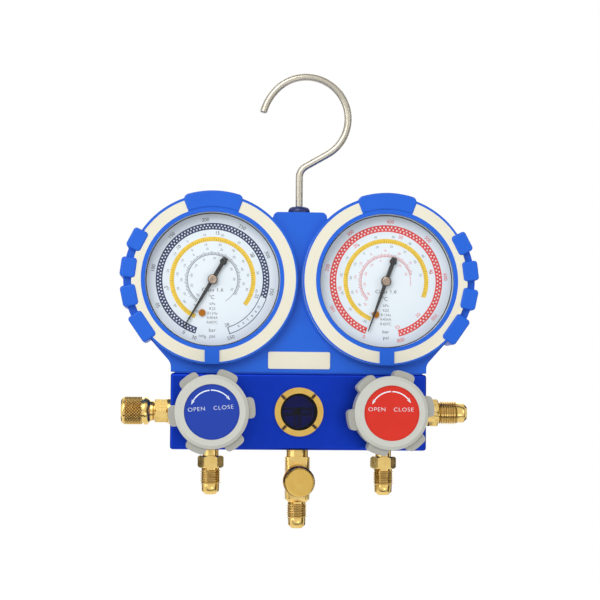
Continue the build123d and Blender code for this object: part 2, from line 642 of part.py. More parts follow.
def rail_outline():
    """Low rail that joins the grips of the left cup; the luminous ring makes room for it."""
    corners = [on_circle(2 * CUP_RADIUS, angle) for angle in RAIL_ANGLES]
    middle = on_circle(2 * CUP_RADIUS, sum(RAIL_ANGLES) / 2)
    wedge = make_face(Polyline((0, 0), corners[0], middle, corners[1], close=True))
    return (Circle(RAIL_OUTER) - Circle(RAIL_INNER)) & wedge


def pad(outline, depth):
    """Raised pad on a cup, rounded along its front and back edges."""
    front = CUP_FRONT_Z + PAD_PROUD
    solid = prism(outline, front - depth, front)
    ends = solid.faces().filter_by(Axis.Z)
    return fillet(ends.edges(), GRIP_EDGE)


def cup_blank():
    """Outside of the left cup about its own centre, with grips and crown pad."""
    rim = CUP_FRONT_Z - GLOW_DEPTH
    cup = fillet(rod(CUP_RADIUS, CUP_BACK_Z, rim).edges().group_by(Axis.Z)[0], CUP_ROUND)
    cup += rod(GLOW_OUTER, rim, CUP_FRONT_Z) - prism(rail_outline(), rim, CUP_FRONT_Z)
    cup += prism(rail_outline(), rim - RAIL_DEPTH, rim)
    for angle, width in zip(GRIP_ANGLES, GRIP_WIDTHS):
        cup += pad(grip_outline(angle, width), GRIP_DEPTH)
    return cup + pad(crown_outline(), CROWN_DEPTH) + prism(tab_outline(), rim, CUP_FRONT_Z + PAD_PROUD)


def skirt_outline(inset):
    """Bib between the cups and the block; its sides leave the cups in straight lines."""
    x, y = on_circle(CUP_RADIUS - inset, -SKIRT_ANGLE, STATION, GAUGE_HEIGHT)
    side = BLOCK_SIDE - inset
    knee = y - (x - side) / tan(radians(SKIRT_ANGLE))
    half = Polyline((0, HOUSING_BOTTOM + inset), (side, HOUSING_BOTTOM + inset), (side, knee), (x, y),
                    (STATION, GAUGE_HEIGHT), (0, GAUGE_HEIGHT), close=True)
    half = make_face(half)
    at_knee = half.vertices().sort_by_distance((side, knee))[0]
    return both_sides(fillet(at_knee, SKIRT_ROUND))


def spine_outline():
    """Middle of the housing, from the bib up to the hook."""
    top, bottom = SPINE_TOP_WIDTH / 2, SPINE_BOTTOM_WIDTH / 2
    face = make_face(Polyline((-bottom, GAUGE_HEIGHT), (bottom, GAUGE_HEIGHT), (top, HOUSING_TOP),
                              (-top, HOUSING_TOP), close=True))
    return fillet(face.vertices().group_by(Axis.Y)[-1], SPINE_CORNER)


def housing_blank():
    """Outside of the whole housing."""
    body = prism(skirt_outline(0) + spine_outline(), BODY_BACK_Z, BODY_FRONT_Z)
    foot_width = BLOCK_WIDTH - 2 * FOOT_INSET
    foot_depth = BLOCK_DEPTH - 2 * FOOT_INSET
    body += Pos(0, (BLOCK_TOP + HOUSING_BOTTOM) / 2, 0) * Box(foot_width, HOUSING_GAP, foot_depth)
    return body + both_sides(Pos(-STATION, GAUGE_HEIGHT, 0) * cup_blank())


def cavity():
    """Hollow of the bib and the spine, outside the sleeves that hold the gauges."""
    top = HOUSING_TOP - BUSH_SHANK_LENGTH
    inner = skirt_outline(BODY_WALL) - Pos(0, HOUSING_BOTTOM) * Rectangle(BLOCK_WIDTH, 2 * HOUSING_FLOOR)
    inner += Pos(0, (GAUGE_HEIGHT + top) / 2) * Rectangle(SPINE_CAVITY_WIDTH, top - GAUGE_HEIGHT)
    for x in (-STATION, STATION):
        inner -= Pos(x, GAUGE_HEIGHT) * Circle(SLEEVE_RADIUS + SLEEVE_WALL)
    parts = inner.faces()
    inner = parts.sort_by(SortBy.AREA)[-1] if len(parts) > 1 else inner
    return prism(inner, BODY_BACK_Z + BODY_WALL, BODY_FRONT_Z - BODY_WALL)


def housing():
    """Whole housing with its openings, before it is split into halves."""
    shell = housing_blank() - cavity()
    for x in (-STATION, STATION):
        shell -= rod(SLEEVE_RADIUS, CASE_BACK_Z, LENS_FRONT_Z, x, GAUGE_HEIGHT)
        shell -= rod(CUP_OPENING, LENS_FRONT_Z, CUP_FRONT_Z + PAD_PROUD, x, GAUGE_HEIGHT)
        hole = rod(STEM_HOLE, 0, GAUGE_HEIGHT - BLOCK_TOP - TUBE_RADIUS)
        shell -= Pos(x, BLOCK_TOP, STEM_Z) * UP * hole
    shell -= Pos(0, HOUSING_TOP - BUSH_SHANK_LENGTH, 0) * UP * rod(BUSH_SHANK, 0, BUSH_SHANK_LENGTH)
    return shell - name_plate() - housing_screws() - block_screws()


def housing_halves():
    """Front and back half of the housing."""
    whole = housing() - glow_rings(-1) - glow_rings(1)
    reach = 4 * CUP_DEPTH + BLOCK_WIDTH
    middle = GAUGE_HEIGHT
    front = whole & slab(2 * reach, 2 * reach, PARTING_Z, PARTING_Z + reach, 0, middle)
    back = whole & slab(2 * reach, 2 * reach, PARTING_Z - reach, PARTING_Z, 0, middle)
    return front, back


def glow_rings(side):
    """Luminous ring in the front of a cup, in two arcs between the crown pad and the tab."""
    low = CUP_FRONT_Z - GLOW_DEPTH
    ring = rod(GLOW_OUTER, low, CUP_FRONT_Z)
    ring = fillet(ring.edges().group_by(Axis.Z)[-1], GLOW_EDGE) - rod(GLOW_INNER, low, CUP_FRONT_Z)
    pads = crown_outline() + tab_outline() + rail_outline()
    for angle, width in zip(GRIP_ANGLES, GRIP_WIDTHS):
        pads += grip_outline(angle, width)
    ring = Pos(-STATION, GAUGE_HEIGHT, 0) * (ring - prism(pads, low, CUP_FRONT_Z))
    return ring if side < 0 else mirror(ring, about=Plane.YZ)


def name_plate():
    """Bare luminous plate in the bib."""
    top = BODY_FRONT_Z + PLATE_PROUD
    return Pos(0, PLATE_RISE, 0) * prism(RectangleRounded(PLATE_WIDTH, PLATE_HEIGHT, PLATE_CORNER),
                                         top - PLATE_THICKNESS, top)


def housing_screws():
    """Screws from the back that hold the two halves together."""
    head_top = CUP_BACK_Z + SCREW_HEAD_HEIGHT
    screw = rod(SCREW_HEAD, CUP_BACK_Z, head_top) + rod(SCREW_SHANK, head_top, PARTING_Z + SCREW_BITE)
    screws = Part()
    for angle in HOUSING_SCREW_ANGLES:
        x, y = on_circle(HOUSING_SCREW_RADIUS, angle, -STATION, GAUGE_HEIGHT)
        screws += Pos(x, y, 0) * screw
    return both_sides(screws)


# ---------------------------------------------------------------- gauges, about the gauge's own centre

def gauge_case():
    """Steel case with a ledge for the dial and a hole for the stem."""
    case = rod(CASE_RADIUS, CASE_BACK_Z, CASE_FRONT_Z)
    case -= rod(CASE_RADIUS - CASE_LEDGE_WALL, CASE_BACK_Z + CASE_FLOOR, DIAL_BACK_Z)
    case -= rod(CASE_RADIUS - CASE_WALL, DIAL_BACK_Z, CASE_FRONT_Z)
    square = slab(STEM_SQUARE, CASE_RADIUS, STEM_Z - STEM_BLOCK_DEPTH / 2, STEM_Z + STEM_BLOCK_DEPTH / 2, 0,
                  -CASE_RADIUS)
    return case - square


def gauge_lens():
    """Clear window of a gauge."""
    return rod(CASE_RADIUS - LENS_GAP, CASE_FRONT_Z, LENS_FRONT_Z)


def gauge_dial():
    """Flat dial with its centre hole and a hole for the adjuster."""
    dial = rod(CASE_RADIUS - CASE_WALL, DIAL_BACK_Z, DIAL_FRONT_Z) - rod(DIAL_HOLE, DIAL_BACK_Z, DIAL_FRONT_Z)
    return dial - rod(ADJUSTER_SHANK, DIAL_BACK_Z, DIAL_FRONT_Z, *ADJUSTER_PLACE)


def adjuster():
    """Brass screw in the dial that sets the zero."""
    head = DIAL_FRONT_Z + ADJUSTER_HEIGHT
    screw = rod(ADJUSTER_RADIUS, DIAL_FRONT_Z, head) + rod(ADJUSTER_SHANK, FRONT_PLATE_Z, DIAL_FRONT_Z)
    return Pos(*ADJUSTER_PLACE) * screw


def tube_section(width, depth):
    """Flat oval section of the Bourdon tube, standing in the XZ plane."""
    oval = RectangleRounded(width, depth, width * TUBE_ROUNDNESS)
    return Plane.XZ * Pos(TUBE_RADIUS, STEM_Z) * oval


def tube_arc(width, depth):
    """Section turned about the gauge's axis, from the stem round to the tip."""
    turn = TUBE_START - TUBE_END
    return Rot(0, 0, TUBE_END) * revolve(tube_section(width, depth), Axis.Z, revolution_arc=turn)


def bourdon_tube():
    """Hollow flat tube bent to a C, closed by a boss at its tip."""
    tube = tube_arc(TUBE_WIDTH, TUBE_DEPTH) - tube_arc(TUBE_WIDTH - 2 * TUBE_WALL, TUBE_DEPTH - 2 * TUBE_WALL)
    x, y = on_circle(TUBE_RADIUS, TUBE_END)
    boss = rod(TIP_BOSS, STEM_Z - TUBE_DEPTH / 2, LINK_Z - LINK_GAP, x, y)
    return tube + boss


def gauge_stem():
    """Brass stem: foot in the block, shank, and the inner block that carries tube and movement."""
    foot_top = BLOCK_TOP - GAUGE_HEIGHT
    low = foot_top - STEM_FOOT_LENGTH
    inner_low = -CASE_RADIUS
    shank = (foot_top + inner_low) / 2
    stem = Pos(0, 0, STEM_Z) * UP * rod(STEM_FOOT, low, foot_top)
    stem += Pos(0, shank, STEM_Z) * Box(STEM_SHANK_SQUARE, inner_low - foot_top, STEM_SHANK_SQUARE)
    inner_middle = (inner_low - STEM_BLOCK_TOP) / 2
    stem += Pos(0, inner_middle, STEM_Z) * Box(STEM_SQUARE, -inner_low - STEM_BLOCK_TOP, STEM_BLOCK_DEPTH)
    stem -= Pos(0, 0, STEM_Z) * UP * rod(STEM_BORE, low, -TUBE_RADIUS)
    return stem - tube_arc(TUBE_WIDTH, TUBE_DEPTH)


def movement_plate(low):
    """One plate of the movement with holes for the two arbors."""
    top_x, top_y = POST_TOP
    bottom_x, bottom_y = POST_BOTTOM
    corners = [(top_x, top_y), (-top_x, top_y), (-bottom_x, bottom_y), (bottom_x, bottom_y)]
    outline = make_hull(Sketch([Pos(x, y) * Circle(PLATE_CORNER_RADIUS) for x, y in corners]).edges())
    plate = prism(outline, low, low + PLATE_GAUGE)
    hole = ARBOR_RADIUS + RUNNING_GAP
    return plate - rod(hole, low, low + PLATE_GAUGE) - rod(hole, low, low + PLATE_GAUGE, 0, SECTOR_PIVOT_Y)


def movement():
    """Frame of the movement: two plates on four posts, with the front one drilled for the adjuster."""
    frame = movement_plate(REAR_PLATE_Z) + movement_plate(FRONT_PLATE_Z)
    for x, y in (POST_TOP, POST_BOTTOM):
        frame += both_sides(rod(POST_RADIUS, REAR_PLATE_Z, FRONT_PLATE_Z + PLATE_GAUGE, x, y))
    return frame - rod(ADJUSTER_SHANK, FRONT_PLATE_Z, DIAL_FRONT_Z, *ADJUSTER_PLACE)


def tooth(pitch_radius, angle):
    """One gear tooth in outline, pointing outwards at an angle."""
    root = gear_root(pitch_radius) - TOOTH_WIDTH
    tip = pitch_radius + TOOTH_MODULE * TOOTH_RISE
    flank = make_face(Polyline((root, -TOOTH_WIDTH / 2), (pitch_radius, -TOOTH_WIDTH / 2),
                               (tip, -TOOTH_TIP_WIDTH / 2), (tip, TOOTH_TIP_WIDTH / 2),
                               (pitch_radius, TOOTH_WIDTH / 2), (root, TOOTH_WIDTH / 2), close=True))
    return Rot(0, 0, angle) * flank


def gear_root(pitch_radius):
    """Radius between the teeth of a gear."""
    return pitch_radius - TOOTH_MODULE * TOOTH_FALL


def pinion_outline():
    """Small gear on the pointer's arbor, with a gap towards the sector at mid-sweep."""
    gear = Circle(gear_root(PINION_PITCH))
    for index in range(PINION_TEETH):
        gear += tooth(PINION_PITCH, -90 + (index + 0.5) * 360 / PINION_TEETH)
    return gear


def pointer(length, angle, sweep):
    """Pointer, hub, arbor and pinion in one piece, turned to its rest angle."""
    neck = POINTER_HEAD_LENGTH - POINTER_TAIL
    barb = neck - POINTER_BARB_LENGTH
    upper = make_face(Polyline((-POINTER_TAIL, 0), (-POINTER_TAIL, POINTER_TAIL_END_WIDTH / 2),
                               (barb, POINTER_TAIL_WIDTH / 2), (neck, POINTER_NECK_WIDTH / 2),
                               (0, POINTER_WIDTH / 2), (length, POINTER_TIP_WIDTH / 2), (length, 0),
                               close=True))
    outline = upper + mirror(upper, about=Plane.XZ)
    blade = Rot(0, 0, angle) * prism(outline, POINTER_Z, POINTER_Z + POINTER_THICKNESS)
    hub_low = POINTER_Z - (POINTER_HUB_HEIGHT - POINTER_THICKNESS) / 3
    blade += rod(POINTER_HUB, hub_low, hub_low + POINTER_HUB_HEIGHT)
    blade += rod(ARBOR_RADIUS, REAR_PLATE_Z + ARBOR_SHORTFALL, hub_low)
    pinion_low = SECTOR_Z - PINION_OVERHANG
    pinion = prism(pinion_outline(), pinion_low, pinion_low + SECTOR_THICKNESS + 2 * PINION_OVERHANG)
    return blade + Rot(0, 0, mid_sweep(sweep)) * pinion


def mid_sweep(sweep):
    """Degrees clockwise from rest to the middle of a pointer's travel."""
    return sum(sweep) / 2


def sector_tilt(sweep):
    """Degrees that the sector is turned clockwise from straight up when the pointer rests."""
    return mid_sweep(sweep) * PINION_TEETH / SECTOR_TEETH


def sector(sweep):
    """Toothed sector with its arbor, tail and link pin, turned to its rest angle."""
    root = gear_root(SECTOR_PITCH)
    edge = on_circle(2 * root, 90 - SECTOR_HALF_ANGLE)
    wedge = make_face(Polyline((0, 0), edge, (-edge[0], edge[1]), close=True)) & Circle(root)
    inner = on_circle(2 * root, 90 - SECTOR_HALF_ANGLE + SECTOR_SPOKE_ANGLE)
    window = make_face(Polyline((0, 0), inner, (-inner[0], inner[1]), close=True)) & Circle(root - SECTOR_RIM)
    outline = wedge - (window - Circle(SECTOR_WINDOW_START)) + Circle(SECTOR_HUB)
    pitch_angle = 360 / SECTOR_TEETH
    count = int((SECTOR_HALF_ANGLE - 1) / pitch_angle)
    for index in range(-count, count + 1):
        outline += tooth(SECTOR_PITCH, 90 + index * pitch_angle)
    tail_x, tail_y = on_circle(TAIL_LENGTH, TAIL_ANGLE)
    bar = Pos(tail_x / 2, tail_y / 2) * Rot(0, 0, TAIL_ANGLE) * Rectangle(TAIL_LENGTH, LINK_WIDTH)
    outline += bar + Pos(tail_x, tail_y) * Circle(TAIL_EYE)
    plate = prism(outline, SECTOR_Z, SECTOR_Z + SECTOR_THICKNESS)
    plate += rod(ARBOR_RADIUS, REAR_PLATE_Z + ARBOR_SHORTFALL, FRONT_PLATE_Z + PLATE_GAUGE - ARBOR_SHORTFALL)
    plate += rod(LINK_PIN, SECTOR_Z, LINK_Z + LINK_THICKNESS + LINK_GAP / 2, tail_x, tail_y)
    return Pos(0, SECTOR_PIVOT_Y, 0) * Rot(0, 0, -sector_tilt(sweep)) * plate


def tail_place(sweep):
    """Where the sector's link pin is when the pointer rests."""
    return on_circle(TAIL_LENGTH, TAIL_ANGLE - sector_tilt(sweep), 0, SECTOR_PIVOT_Y)


def link(sweep):
    """Flat link from the sector's tail to just in front of the Bourdon tube's tip."""
    start = Pos(*tail_place(sweep))
    end = Pos(*on_circle(TUBE_RADIUS, TUBE_END))
    outline = make_hull(Sketch([start * Circle(LINK_WIDTH / 2), end * Circle(LINK_WIDTH / 2)]).edges())
    outline += start * Circle(LINK_EYE) + end * Circle(LINK_EYE)
    outline -= start * Circle(LINK_PIN + RUNNING_GAP)
    return prism(outline, LINK_Z, LINK_Z + LINK_THICKNESS)


# ---------------------------------------------------------------- hook

def hook_path():
    """Centre line of the hook, from its lower end inside the housing to its tip."""
    start = (0, HOUSING_TOP - BUSH_SHANK_LENGTH - COLLAR_LENGTH - COLLAR_GAP - HOOK_END_BELOW_COLLAR)
    stem = Line(start, (0, HOUSING_TOP + HOOK_STEM_RISE))
    bend = JernArc(stem @ 1, stem % 1, HOOK_BEND_RADIUS, -HOOK_LEAN)
    run = Line(bend @ 1, bend @ 1 + (bend % 1) * HOOK_RUN)
    bow = JernArc(run @ 1, run % 1, HOOK_RADIUS, HOOK_SWEEP)
    tip = JernArc(bow @ 1, bow % 1, HOOK_TIP_RADIUS, HOOK_TIP_SWEEP)
    return stem, bend, run, bow, tip


def crown_height():
    """Height of the inside of the hook above the block's centre, on the swivel axis."""
    centre = hook_path()[3].arc_center
    return centre.Y + sqrt((HOOK_RADIUS - WIRE_RADIUS) ** 2 - centre.X ** 2)


def hook():
    """Bent steel wire hook."""
    pieces = hook_path()
    path = Wire([piece.edge() for piece in pieces])
    section = Plane(origin=path @ 0, z_dir=path % 0) * Circle(WIRE_RADIUS)
    wire = sweep(section, path)
    tip_face = wire.faces().sort_by_distance(path @ 1)[0]
    return chamfer(tip_face.edges(), HOOK_TIP_CHAMFER)


def hook_bush():
    """Domed bush that the hook turns in."""
    dome = rod(BUSH_RADIUS, 0, BUSH_DOME_HEIGHT)
    dome = fillet(dome.edges().group_by(Axis.Z)[-1], BUSH_DOME_ROUND)
    bush = dome + rod(BUSH_SHANK, -BUSH_SHANK_LENGTH, 0)
    bush -= rod(WIRE_RADIUS + RUNNING_GAP, -BUSH_SHANK_LENGTH, BUSH_DOME_HEIGHT)
    return Pos(0, HOUSING_TOP, 0) * UP * bush


def hook_collar():
    """Collar under the bush that keeps the hook from pulling out."""
    top = -BUSH_SHANK_LENGTH - COLLAR_GAP
    collar = rod(COLLAR_RADIUS, top - COLLAR_LENGTH, top) - rod(WIRE_RADIUS, top - COLLAR_LENGTH, top)
    return Pos(0, HOUSING_TOP, 0) * UP * collar


# ---------------------------------------------------------------- all pieces

TO_ROW = Pos(0, 0, -crown_height()) * Rot(90, 0, 0)


def save(node, shape):
    """Write one node's STEP file in the row's frame."""
    export_step(TO_ROW * shape, f"parts/{node}.step")


def save_gauge(name, side, pointer_length, pointer_angle, sweep):
    """Write the pieces of one gauge."""
    place = Pos(side * STATION, GAUGE_HEIGHT, 0)
    pieces = {"case": gauge_case(), "lens": gauge_lens(), "dial": gauge_dial(), "adjuster": adjuster(),
              "bourdon_tube": bourdon_tube(), "stem": gauge_stem(), "movement": movement(),
              "pointer": pointer(pointer_length, pointer_angle, sweep), "sector": sector(sweep),
              "link": link(sweep)}
    for piece, shape in pieces.items():
        save(f"{name}_{piece}", place * shape)
    save(f"{name}_glow_ring", glow_rings(side))


def save_valve(name, side, turn):
    """Write the pieces of one hand valve."""
    place = Pos(side * STATION, 0, 0)
    pieces = {"bonnet": bonnet(), "packing": packing(), "spindle": spindle(), "knob": knob(turn),
              "knob_label": label_disc(), "knob_screw": knob_screw()}
    for piece, shape in pieces.items():
        save(f"{name}_{piece}", place * shape)
    save(f"{name}_port", place * Pos(0, -BLOCK_TOP, 0) * DOWN * hose_port())


def save_capped(name, place, port_length, cap_radius, cap_length):
    """Write cap, seal and core of a capped port."""
    cap, seal, core = capped_port(place, port_length, cap_radius, cap_length)
    save(f"{name}_cap", cap)
    save(f"{name}_cap_seal", seal)
    save(f"{name}_core", core)


def main():
    """Build and write every piece."""
    os.makedirs("parts", exist_ok=True)
    save("manifold_block", manifold_block())
    save("block_screws", block_screws())
    front, back = housing_halves()
    save("housing_front", front)
    save("housing_back", back)
    save("housing_screws", housing_screws())
    save("name_plate", name_plate())
    save("sight_ring", sight_ring())
    save("sight_glass", sight_glass())
    save("sight_gasket", sight_gasket())
    save("centre_port", centre_port())
    save("left_port", Pos(-BLOCK_SIDE, 0, 0) * LEFT * left_port())
    save("right_port", Pos(BLOCK_SIDE, 0, 0) * RIGHT * right_port())
    flare = FLARE_THREAD_LENGTH + FLARE_NOSE_LENGTH
    left_length = LEFT_COLLAR_LENGTH + LEFT_HEX_LENGTH + LEFT_NECK_LENGTH + flare
    save_capped("left", Pos(-BLOCK_SIDE, 0, 0) * LEFT, left_length, SIDE_CAP_RADIUS, SIDE_CAP_LENGTH)
    save_capped("front", Pos(0, BRANCH_Y, 0), BRANCH_FACE_Z + flare, FRONT_CAP_RADIUS, FRONT_CAP_LENGTH)
    save_gauge("low", -1, LOW_POINTER_LENGTH, LOW_POINTER_ANGLE, LOW_SWEEP)
    save_gauge("high", 1, HIGH_POINTER_LENGTH, HIGH_POINTER_ANGLE, HIGH_SWEEP)
    save_valve("low", -1, KNOB_TURN_LOW)
    save_valve("high", 1, KNOB_TURN_HIGH)
    save("hook", hook())
    save("hook_bush", hook_bush())
    save("hook_collar", hook_collar())


main()
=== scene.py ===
"""Dresses the refrigerant manifold gauge: finishes, printed dials, hand wheel labels, threads, knurls and studio.

The part hangs from its hook. Lengths are given in millimetres and turned to metres where they meet the frame.
"""
import logging
from dataclasses import dataclass
from enum import Enum
from functools import cache
from math import atan2, ceil, cos, pi, radians, sin

import bmesh
import bpy
from mathutils import Matrix, Quaternion, Vector


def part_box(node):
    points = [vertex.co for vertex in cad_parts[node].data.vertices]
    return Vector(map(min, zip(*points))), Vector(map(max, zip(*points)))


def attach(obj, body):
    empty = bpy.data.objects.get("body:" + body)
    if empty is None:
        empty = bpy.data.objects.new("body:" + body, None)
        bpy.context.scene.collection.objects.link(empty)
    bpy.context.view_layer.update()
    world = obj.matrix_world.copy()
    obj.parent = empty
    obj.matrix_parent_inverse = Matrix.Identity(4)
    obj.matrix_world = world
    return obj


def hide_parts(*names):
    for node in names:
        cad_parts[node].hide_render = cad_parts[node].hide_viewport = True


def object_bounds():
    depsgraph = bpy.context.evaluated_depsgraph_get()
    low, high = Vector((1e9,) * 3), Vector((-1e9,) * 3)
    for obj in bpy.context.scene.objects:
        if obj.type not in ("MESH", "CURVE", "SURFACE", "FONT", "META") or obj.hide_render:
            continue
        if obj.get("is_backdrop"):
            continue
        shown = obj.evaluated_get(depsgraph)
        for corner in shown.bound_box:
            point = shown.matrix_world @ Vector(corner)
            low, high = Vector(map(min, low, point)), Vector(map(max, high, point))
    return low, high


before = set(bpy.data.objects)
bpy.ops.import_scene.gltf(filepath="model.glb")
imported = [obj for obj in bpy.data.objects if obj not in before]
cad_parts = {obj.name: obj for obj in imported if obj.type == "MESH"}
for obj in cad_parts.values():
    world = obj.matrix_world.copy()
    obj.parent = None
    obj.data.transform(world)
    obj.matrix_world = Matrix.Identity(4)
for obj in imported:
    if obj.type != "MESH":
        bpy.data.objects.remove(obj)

Tree, Node, Socket, Material = bpy.types.NodeTree, bpy.types.Node, bpy.types.NodeSocket, bpy.types.Material
Shape, Vertex, Edge = bmesh.types.BMesh, bmesh.types.BMVert, bmesh.types.BMEdge
Pair = tuple[float, float]
Triple = tuple[float, float, float]

MM = 0.001
LOG = logging.getLogger("manifold_gauge")


# ------------------------------------------------------------------ colours and nodes

def linear(code: str) -> tuple[float, float, float, float]:
    """Turns an sRGB hex colour to the linear red, green, blue and alpha that the shaders take."""
    parts = [int(code[i:i + 2], 16) / 255 for i in (1, 3, 5)]
    red, green, blue = (c / 12.92 if c <= 0.04045 else ((c + 0.055) / 1.055) ** 2.4 for c in parts)
    return red, green, blue, 1.0


def add_node(tree: Tree, kind: str, links: dict | None = None, **settings) -> Node:
    """Adds one node with its settings and links.

    Args:
        tree: Node tree that takes the node.
        kind: Blender's name of the node type.
        links: Input sockets by name or number, each with the output socket or value that feeds it.
        settings: Properties of the node itself.

    Returns:
        The new node.
    """
    node = tree.nodes.new(kind)
    for name, value in settings.items():
        setattr(node, name, value)
    for name, value in (links or {}).items():
        feed(tree, node, name, value)
    return node


def feed(tree: Tree, node: Node, name: str | int, value: Socket | float | tuple) -> None:
    """Gives one input of a node a link or a plain value."""
    if isinstance(value, Socket):
        tree.links.new(value, node.inputs[name])
    else:
        node.inputs[name].default_value = value


def empty_tree(owner: Material | bpy.types.World) -> Tree:
    """Gives a material or a world an empty node tree."""
    owner.use_nodes = True
    owner.node_tree.nodes.clear()
    return owner.node_tree


def either(tree: Tree, first: Socket, second: Socket) -> Socket:
    """Adds the larger of two values, such as two kinds of ray."""
    return add_node(tree, "ShaderNodeMath", {0: first, 1: second}, operation="MAXIMUM").outputs[0]


class Axis(Enum):
    """Direction that a turned piece's axis runs in."""

    X = Vector((1, 0, 0))
    Y = Vector((0, 1, 0))
    Z = Vector((0, 0, 1))


class Surface:
    """A material with a Principled shader that a finish feeds.

    Attributes:
        material: The material.
        tree: Its node tree.
        shader: Its shader.
        output: The output that shows the shader.
        place: Coordinates that the patterns lie on, Object coordinates at first.
        span: Where most of a noise's values lie.
        smoothest: Roughness that no patch goes below.
    """

    span = (0.3, 0.7)
    smoothest = 0.02

    def __init__(self, name: str, colour: str) -> None:
        """Makes the material with a name and its colour in the viewport."""
        self.material = bpy.data.materials.new(name)
        self.material.diffuse_color = linear(colour)
        self.tree = empty_tree(self.material)
        self.shader = self.add("ShaderNodeBsdfPrincipled")
        self.output = self.add("ShaderNodeOutputMaterial", {"Surface": self.shader.outputs[0]})
        self.place = self.add("ShaderNodeTexCoord").outputs["Object"]

    def add(self, kind: str, links: dict | None = None, **settings) -> Node:
        """Adds a node as add_node does."""
        return add_node(self.tree, kind, links, **settings)

    def set(self, name: str, value: Socket | float | tuple) -> None:
        """Gives one input of the shader a link or a plain value."""
        feed(self.tree, self.shader, name, value)

    def noise(self, size: float, detail: float) -> Socket:
        """Adds a noise whose grains are about this many millimetres across."""
        links = {"Vector": self.place, "Scale": 1 / (size * MM), "Detail": detail}
        return self.add("ShaderNodeTexNoise", links).outputs["Fac"]

    def remap(self, value: Socket, start: Pair, end: Pair = (0.0, 1.0)) -> Socket:
        """Adds a node that turns one range of values into another and holds them at its ends."""
        return self.add("ShaderNodeMapRange", {"Value": value, "From Min": start[0], "From Max": start[1],
                                               "To Min": end[0], "To Max": end[1]}).outputs[0]

    def tint(self, share: Socket, first: str, second: str | None = None) -> None:
        """Colours the shader from the first colour, at a share of 0, to the second or what it had."""
        had = linear(second) if second else self.shader.inputs["Base Color"].links[0].from_socket
        mix = self.add("ShaderNodeMix", {"Factor": share, 6: linear(first), 7: had}, data_type="RGBA")
        self.set("Base Color", mix.outputs[2])

    def drift(self, finish: "Finish", size: float, spread: float) -> None:
        """Lets the colour and the roughness drift slowly over the surface.

        Args:
            finish: Finish with the two colours and the middle of the roughness.
            size: Size of the patches in millimetres.
            spread: How far the roughness strays each way.
        """
        patches = self.noise(size, detail=4.0)
        least = max(finish.roughness - spread, self.smoothest)
        self.tint(patches, finish.colour, finish.tone)
        self.set("Roughness", self.remap(patches, self.span, (least, finish.roughness + spread)))

    def emboss(self, height: Socket, strength: float, depth: float) -> None:
        """Gives the surface a fine relief of this depth in millimetres."""
        links = {"Height": height, "Strength": strength, "Distance": depth * MM}
        self.set("Normal", self.add("ShaderNodeBump", links).outputs[0])


# ------------------------------------------------------------------ finishes

@dataclass(frozen=True)
class Finish:
    """What every finish has: a name, a colour, and a second tone that it drifts to.

    Attributes:
        name: Name of the material.
        colour: Main colour as sRGB hex.
        tone: Second colour as sRGB hex.
        roughness: Middle of the surface's roughness.
    """

    name: str
    colour: str
    tone: str
    roughness: float

    def material(self) -> Material:
        """Builds the material."""
        surface = Surface(self.name, self.colour)
        self.texture(surface)
        return surface.material

    def texture(self, surface: Surface) -> None:
        """Adds what sets this kind of finish apart."""
        raise NotImplementedError


@dataclass(frozen=True)
class MouldedPlastic(Finish):
    """Injection-moulded plastic with a spark-eroded grain; soft highlights, even colour.

    Attributes:
        grain: Size of the mould's grain in millimetres.
        depth: Depth of the grain in millimetres.
        ior: Index of refraction.
        shine: Specular level, 0.5 for a clean surface and less for a dusty or matted one.
    """

    grain: float = 0.45
    depth: float = 0.03
    ior: float = 1.53
    shine: float = 0.5

    def texture(self, surface: Surface) -> None:
        """Adds the mould's grain."""
        surface.drift(self, size=18.0, spread=0.04)
        surface.emboss(surface.noise(self.grain, detail=2.0), strength=0.35, depth=self.depth)
        surface.set("IOR", self.ior)
        surface.set("Specular IOR Level", self.shine)


@dataclass(frozen=True)
class RimLitNylon(MouldedPlastic):
    """Moulded nylon of a hand wheel with painted light: the raised front rim is painted paler than the lobes behind
    it, a painted highlight on the rim and painted shade on the recessed lobes.

    Attributes:
        rim: Colour of the painted highlight on the rim as sRGB hex.
        front: Front of the lobes along Y in millimetres; the rim stands before it.
        fade: How far the two colours run into each other, in millimetres.
    """

    rim: str = "#FFFFFF"
    front: float = 0.0
    fade: float = 1.0

    def texture(self, surface: Surface) -> None:
        """Paints the paler rim, a painted highlight, on the grained nylon and leaves the lobes behind it in painted
        shade.
        """
        super().texture(surface)
        depth = surface.add("ShaderNodeSeparateXYZ", {0: surface.place}).outputs["Y"]
        # Painted light: lighter in front of the lobes, darker behind them
        surface.tint(surface.remap(depth, ((self.front - self.fade) * MM, self.front * MM)), self.rim)


